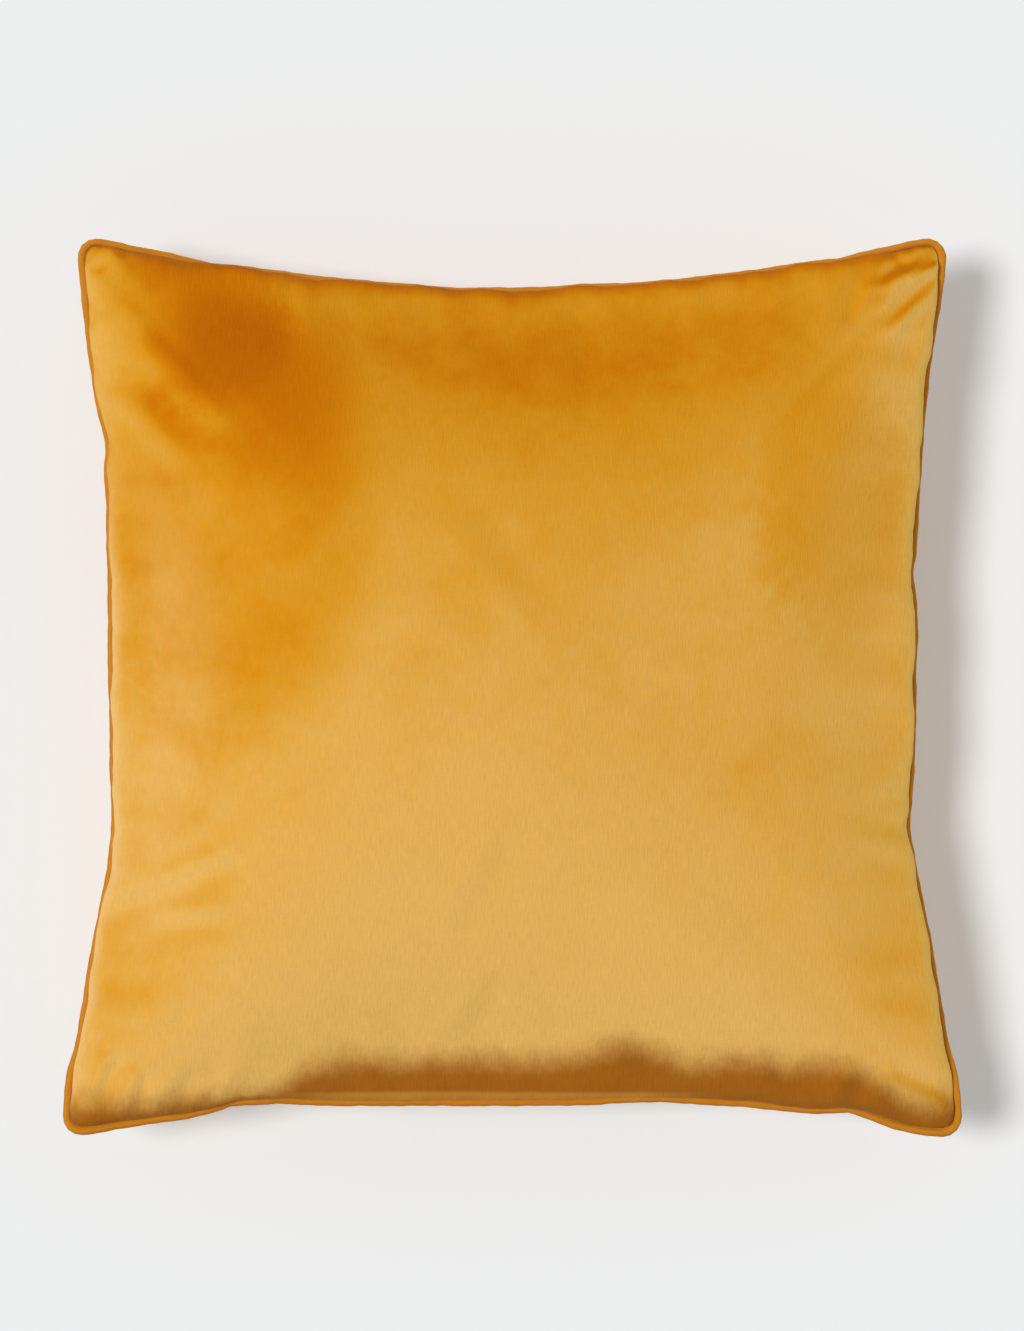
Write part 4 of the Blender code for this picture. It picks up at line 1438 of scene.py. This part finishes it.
@dataclass
class ZipTapes:
    """The two woven tapes, and the coil rows and stops that they carry."""

    place: ZipPlace
    pitch: float = 1.25 * MM
    wire: float = 0.34 * MM
    row: float = 2.05 * MM
    tall: float = 0.9 * MM
    head: float = 0.30 * MM

    def tooth(self, way: int) -> bpy.types.Object:
        """One turn of the coil: a hairpin of wire whose head reaches over the zip's middle."""
        path = [
            (-0.30 * self.pitch, self.row, 0.55),
            (-0.22 * self.pitch, 0.55 * self.row, 0.80),
            (0.0, 0.05 * self.row, 0.72),
            (0.0, -self.head, 0.0),
            (0.0, 0.05 * self.row, -0.72),
            (0.22 * self.pitch, 0.55 * self.row, -0.80),
            (0.30 * self.pitch, self.row, -0.55),
        ]
        rise = self.tall - self.wire
        return wire([(x, way * y, z * rise) for x, y, z in path], self.wire, 0, curved=False)

    def coil(self, way: int, name: str, node: str) -> None:
        """One row of the coil: a tooth repeated along the zip."""
        obj = self.tooth(way)
        count = int(2 * self.place.half / self.pitch)
        start = -self.pitch * (count - 1) / 2 + way * self.pitch / 4
        obj.data.transform(Matrix.Translation((start, 0, 0)))
        repeated(obj, count, self.pitch)
        obj.data.transform(self.place.matrix())
        finished(smoothed(obj, 50), name, NYLON, "cushion", [node])

    def stitches(self, way: int, name: str) -> None:
        """The thread that sews a coil row to its tape: a short bar over each pair of teeth."""
        deselect()
        bpy.ops.mesh.primitive_uv_sphere_add(segments=8, ring_count=5, radius=0.5)
        obj = bpy.context.object
        size = (1.9 * self.pitch, 0.28 * MM, 0.24 * MM)
        obj.data.transform(Matrix.Diagonal((*size, 1)))
        count = int(self.place.half / self.pitch) - 1
        reach = self.pitch * (count - 1)
        obj.data.transform(Matrix.Translation((-reach, way * 0.66 * self.row, self.tall + 0.06 * MM)))
        repeated(obj, count, 2 * self.pitch)
        obj.data.transform(self.place.matrix())
        finished(smoothed(obj), name, THREAD, "cushion", [])

    def stop(self, node: str, name: str) -> None:
        """A stop: a metal band bent round the chain, from a bevelled and grooved block."""
        low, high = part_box(node)
        along = (low.x + high.x) / 2 - self.place.middle.x
        length = high.x - low.x
        wide = self.row if "top" in node else 2 * self.row
        side = 1 if node.endswith("front") else -1
        middle = side * (self.row / 2 + 0.2 * MM) if "top" in node else 0.0
        deselect()
        bpy.ops.mesh.primitive_cube_add(size=1)
        obj = bpy.context.object
        obj.data.transform(Matrix.Diagonal((length, wide, 2 * self.tall + 0.6 * MM, 1)))
        activate(obj)
        bpy.ops.object.mode_set(mode="EDIT")
        bpy.ops.mesh.select_all(action="SELECT")
        bpy.ops.mesh.bevel(offset=0.42 * MM, segments=4, affect="EDGES")
        bpy.ops.object.mode_set(mode="OBJECT")
        points = coordinates(obj.data)
        groove = np.exp(-((points[:, 0] / (0.28 * length)) ** 2))
        points[:, 2] *= 1 - 0.16 * groove
        place_points(obj.data, points)
        obj.data.transform(self.place.matrix(along) @ Matrix.Translation((0, middle, 0)))
        finished(smoothed(obj, 60), name, BRASS, "cushion", [node])

    def build(self) -> None:
        """Builds the rows, their stitches and the stops, and dresses the tapes."""
        for way, side in ((1, "front"), (-1, "back")):
            self.coil(way, f"coil_row_{side}", f"zip_coil_{side}")
            self.stitches(way, f"coil_stitches_{side}")
            self.stop(f"zip_top_stop_{side}", f"top_stop_{side}")
            dress_node(f"zip_tape_{side}", TAPE)
            dress_node(f"zip_thread_{side}", THREAD)
        self.stop("zip_bottom_stop", "bottom_stop")


@dataclass
class Slider:
    """The die-cast slider: two waisted plates with flanges, a nose between them and a bail on top."""

    place: ZipPlace
    length: float = 9.5 * MM
    width: float = 6.9 * MM
    height: float = 4.0 * MM
    plate: float = 0.8 * MM
    bail: float = 1.9 * MM
    bail_wire: float = 0.6 * MM

    @property
    def along(self) -> float:
        """Where the slider stands along the zip."""
        low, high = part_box("zip_slider")
        return (low.x + high.x) / 2 - self.place.middle.x

    def waisted(self, points: np.ndarray) -> np.ndarray:
        """Narrows a plate towards its back end and rounds its nose, as a cast slider is."""
        share = points[:, 0] / (self.length / 2)
        narrow = 1 - 0.20 * np.clip(-share, 0, 1) ** 1.6 - 0.12 * np.clip(share, 0, 1) ** 4
        points[:, 1] *= narrow
        return points

    def plate_at(self, level: float) -> bpy.types.Object:
        """A plate with rounded edges and a raised middle panel."""
        deselect()
        bpy.ops.mesh.primitive_grid_add(x_subdivisions=16, y_subdivisions=10, size=1)
        obj = bpy.context.object
        obj.data.transform(Matrix.Diagonal((self.length, self.width, 1, 1)))
        place_points(obj.data, self.waisted(coordinates(obj.data)))
        applied(obj, "SOLIDIFY", thickness=self.plate, offset=0)
        points = coordinates(obj.data)
        raised = np.sign(level) * points[:, 2] > 0
        inner = np.maximum(
            abs(points[:, 0]) / (0.40 * self.length), abs(points[:, 1]) / (0.34 * self.width)
        )
        points[:, 2] += np.sign(level) * raised * 0.22 * MM * np.clip((1.15 - inner) / 0.3, 0, 1)
        points[:, 2] += level
        place_points(obj.data, points)
        applied(
            obj, "BEVEL", width=0.22 * MM, segments=3, limit_method="ANGLE", angle_limit=math.radians(50)
        )
        return obj

    def block(self, low: Sequence[float], high: Sequence[float], edge: float) -> bpy.types.Object:
        """A small block between two corners, with rounded edges."""
        low, high = Vector(low), Vector(high)
        deselect()
        bpy.ops.mesh.primitive_cube_add(size=1)
        obj = bpy.context.object
        move = Matrix.Translation((low + high) / 2) @ Matrix.Diagonal((*(high - low), 1))
        obj.data.transform(move)
        activate(obj)
        bpy.ops.object.mode_set(mode="EDIT")
        bpy.ops.mesh.select_all(action="SELECT")
        bpy.ops.mesh.bevel(offset=edge, segments=3, affect="EDGES")
        bpy.ops.object.mode_set(mode="OBJECT")
        return obj

    def bail_arch(self) -> bpy.types.Object:
        """The arch over the top plate that the pull hangs from."""
        top = self.height / 2
        half = 2.9 * MM
        rise = self.bail + self.bail_wire / 2
        path = [
            (-half, top - 0.2 * MM),
            (-half, top + 0.55 * rise),
            (-0.72 * half, top + 0.92 * rise),
            (0.0, top + 1.02 * rise),
            (0.72 * half, top + 0.92 * rise),
            (half, top + 0.55 * rise),
            (half, top - 0.2 * MM),
        ]
        obj = wire([(x, 0, z) for x, z in path], self.bail_wire / 2, 3, curved=True)
        points = coordinates(obj.data)
        points[:, 1] *= 2.2
        place_points(obj.data, points)
        return obj

    def build(self) -> None:
        """Builds and dresses the slider."""
        level = self.height / 2 - self.plate / 2
        wall = self.width / 2
        pieces = [self.plate_at(level), self.plate_at(-level), self.bail_arch()]
        gap = 0.55 * MM
        for way in (-1, 1):
            for plate_way in (-1, 1):
                ends = sorted((plate_way * (self.height / 2 - 0.1 * MM), plate_way * gap))
                edges = sorted((way * (wall - 0.75 * MM), way * (wall - 0.05 * MM)))
                low = (-0.36 * self.length, edges[0] * 0.93, ends[0])
                high = (0.40 * self.length, edges[1] * 0.93, ends[1])
                pieces.append(self.block(low, high, 0.16 * MM))
        post = (0.12 * self.length, -0.24 * MM, -level), (0.42 * self.length, 0.24 * MM, level)
        pieces.append(self.block(*post, 0.1 * MM))
        obj = joined(pieces)
        obj.data.transform(self.place.matrix(self.along))
        finished(smoothed(obj, 45), "slider", BRASS, "slider", ["zip_slider"])


@dataclass
class Pull:
    """The slider's pull: a tapered tab with a rim, its bar through the bail."""

    place: ZipPlace
    length: float = 21 * MM
    width: float = 5.0 * MM
    thick: float = 1.1 * MM
    bar: float = 0.45 * MM
    window: float = 3.6 * MM
    window_half: float = 1.0 * MM

    def build(self) -> None:
        """Builds and dresses the pull."""
        columns, rows = 42, 10
        deselect()
        bpy.ops.mesh.primitive_grid_add(x_subdivisions=columns, y_subdivisions=rows, size=1)
        obj = bpy.context.object
        points = coordinates(obj.data)
        share = 0.5 - points[:, 0]
        x = self.bar - share * (self.length + self.bar)
        waist = 1 - 0.18 * np.exp(-(((share - 0.30) / 0.16) ** 2))
        end = np.sqrt(np.clip(1 - np.clip((share - 0.90) / 0.10, 0, 1) ** 2 * 0.82, 0, 1))
        y = points[:, 1] * self.width * waist * end
        place_points(obj.data, np.stack([x, y, np.zeros_like(x)], axis=1))
        activate(obj)
        bpy.ops.object.mode_set(mode="EDIT")
        mesh = bmesh.from_edit_mesh(obj.data)
        for face in mesh.faces:
            centre = face.calc_center_median()
            inside = -self.window < centre.x < -self.bar and abs(centre.y) < self.window_half
            face.select_set(inside)
        bmesh.update_edit_mesh(obj.data)
        bpy.ops.mesh.delete(type="FACE")
        bpy.ops.object.mode_set(mode="OBJECT")
        applied(obj, "SOLIDIFY", thickness=self.thick, offset=0)
        points = coordinates(obj.data)
        length_share = (self.bar - points[:, 0]) / (self.length + self.bar)
        half = np.interp(length_share, np.sort(share), (self.width / 2 * waist * end)[np.argsort(share)])
        from_rim = np.clip((half - abs(points[:, 1])) / (0.9 * MM), 0, 1)
        from_end = np.clip((1 - length_share) * self.length / (1.2 * MM), 0, 1)
        from_eye = np.clip((length_share - 0.30) / 0.06, 0, 1)
        hollow = 0.20 * MM * np.minimum(np.minimum(from_rim, from_end), from_eye)
        points[:, 2] -= np.sign(points[:, 2]) * hollow
        place_points(obj.data, points)
        applied(
            obj, "BEVEL", width=0.2 * MM, segments=3, limit_method="ANGLE", angle_limit=math.radians(50)
        )
        joint = next(j for j in frame["joints"] if j["name"] == "pull_swing")
        away = Vector(joint["pos_m"]) - self.place.middle
        move = self.place.matrix(away.x, away.dot(self.place.out))
        obj.data.transform(move)
        finished(smoothed(obj, 45), "pull_tab", BRASS, "pull", ["zip_pull"])


# The inner pad


@dataclass
class InnerPad:
    """The filled pad: a cambric case of two faces, sewn round its edge, and the fibre inside it.

    It takes its shape from the cover that it fills.
    """

    cover: Cover
    smaller: float = 0.92
    lower: float = 0.955
    inside_case: float = 0.99
    lower_inside: float = 0.98
    wall: float = 0.5 * MM
    seam_gap: float = 0.3 * MM
    pucker: float = 0.8 * MM

    def puffed(self, side: Side, smaller: float, lower: float, gap: float) -> bpy.types.Object:
        """A face like the cover's, but smaller and lower.

        Args:
            side: which face.
            smaller: its size in plan, as a share of the cover's.
            lower: its height, as a share.
            gap: how far its edge lies from the seam plane.

        Returns:
            The face as an open mesh.
        """
        cells = self.cover.fine_cells + 1
        grid = self.cover.faces[side].reshape(cells, cells, 3)[::2, ::2].copy()
        ticks = self.cover.ticks[::2]
        u, v = np.meshgrid(ticks, ticks)
        grid[:, :, 0], grid[:, :, 1] = (part * smaller for part in SEAM.plan(u, v))
        edge = 1 - np.maximum(abs(u), abs(v))
        height = abs(grid[:, :, 2] - SEAM.level) * lower * np.clip(edge / 0.02, 0, 1)
        folds = np.sin(np.where(abs(u) > abs(v), v, u) * 55) + np.sin(np.where(abs(u) > abs(v), v, u) * 34)
        height -= self.pucker * (folds + 2) * np.exp(-((edge / 0.08) ** 2)) * np.clip(edge / 0.02, 0, 1)
        grid[:, :, 2] = SEAM.level + side.value * np.maximum(height, gap)
        return cloth_grid(grid, ticks)

    def build(self) -> None:
        """Builds and dresses the case, its filling and its seam."""
        for side in Side:
            obj = self.puffed(side, self.smaller, self.lower, self.seam_gap)
            if side is Side.BACK:
                obj.data.flip_normals()
            applied(obj, "SOLIDIFY", thickness=self.wall, offset=-1)
            name = side.name.lower()
            finished(smoothed(obj), f"pad_case_{name}", CAMBRIC, "cushion", [f"pad_casing_{name}"])
        halves = []
        for side in Side:
            half = self.puffed(side, self.smaller * self.inside_case, self.lower * self.lower_inside, 0.0)
            if side is Side.BACK:
                half.data.flip_normals()
            halves.append(half)
        filling = joined(halves)
        activate(filling)
        bpy.ops.object.mode_set(mode="EDIT")
        bpy.ops.mesh.select_all(action="SELECT")
        bpy.ops.mesh.remove_doubles(threshold=0.05 * MM)
        bpy.ops.object.mode_set(mode="OBJECT")
        finished(smoothed(filling), "fibre_filling", FIBRE, "cushion", ["pad_filling"])
        dress_node("pad_seam_thread", CAMBRIC)


# The scene


@dataclass
class Studio:
    """A pale floor, soft light from the left, and a camera straight above the front."""

    floor: Colour = (0.665, 0.675, 0.680)
    glow: float = 0.22
    picture: tuple[int, int] = (1024, 1331)
    per_step: float = 0.5474 * MM
    off_centre: float = 21.0
    lens: float = 120.0
    film: float = 36.0
    key: float = 2.16
    key_softness: float = 16.0
    key_height: float = 64.0
    key_drift: float = -0.04
    ambient: float = 0.34
    ambient_colour: Colour = (0.955, 0.985, 1.0)
    backdrop: float = 0.86

    def lay_floor(self) -> None:
        """A wide floor under the cushion."""
        deselect()
        bpy.ops.mesh.primitive_plane_add(size=12.0, location=(0, 0, -0.2 * MM))
        obj = bpy.context.object
        obj.name = "floor"
        material = bpy.data.materials.new("pale_floor")
        material.use_nodes = True
        shader = material.node_tree.nodes["Principled BSDF"]
        shader.inputs["Base Color"].default_value = (*self.floor, 1)
        shader.inputs["Emission Color"].default_value = (1.0, 1.0, 0.985, 1)
        shader.inputs["Emission Strength"].default_value = self.glow
        shader.inputs["Roughness"].default_value = 0.9
        shader.inputs["Specular IOR Level"].default_value = 0.1
        obj.data.materials.append(material)

    def light(self) -> None:
        """A soft key light from the left, and even light from all round."""
        data = bpy.data.lights.new("key", "SUN")
        data.energy = self.key
        data.angle = math.radians(self.key_softness)
        obj = bpy.data.objects.new("key", data)
        bpy.context.scene.collection.objects.link(obj)
        high = math.radians(self.key_height)
        towards = Vector((math.cos(high), self.key_drift, -math.sin(high)))
        obj.rotation_mode = "QUATERNION"
        obj.rotation_quaternion = towards.to_track_quat("-Z", "Y")
        world = bpy.context.scene.world or bpy.data.worlds.new("studio")
        bpy.context.scene.world = world
        world.use_nodes = True
        graph = Graph(world.node_tree)
        seen = graph.add("LightPath").outputs["Is Camera Ray"]
        background = world.node_tree.nodes["Background"]
        graph.put(background, "Color", self.ambient_colour)
        graph.put(background, "Strength", graph.faded(seen, 0.0, 1.0, self.ambient, self.backdrop))

    def set_camera(self) -> None:
        """A long lens looking straight down, with the cushion a little below the picture's middle."""
        data = bpy.data.cameras.new("camera")
        data.lens, data.sensor_width = self.lens, self.film
        obj = bpy.data.objects.new("camera", data)
        bpy.context.scene.collection.objects.link(obj)
        tall = self.picture[1] * self.per_step
        away = tall / 2 / (self.film / 2 / self.lens)
        obj.location = (0.0, self.off_centre * self.per_step, SEAM.level + away)
        data.clip_end = 50.0
        bpy.context.scene.camera = obj

    def build(self) -> None:
        """Sets up the whole studio."""
        bpy.context.scene.view_settings.view_transform = "Standard"
        self.lay_floor()
        self.light()
        self.set_camera()


def main() -> None:
    """Builds the cushion from the cover inwards, and then the studio round it."""
    Studio().build()
    cover = Cover()
    cover.build()
    Piping().build()
    place = ZipPlace()
    ZipTapes(place).build()
    Slider(place).build()
    Pull(place).build()
    InnerPad(cover).build()
    dress_node("care_label", SATIN)


if __name__ == "__main__":
    main()
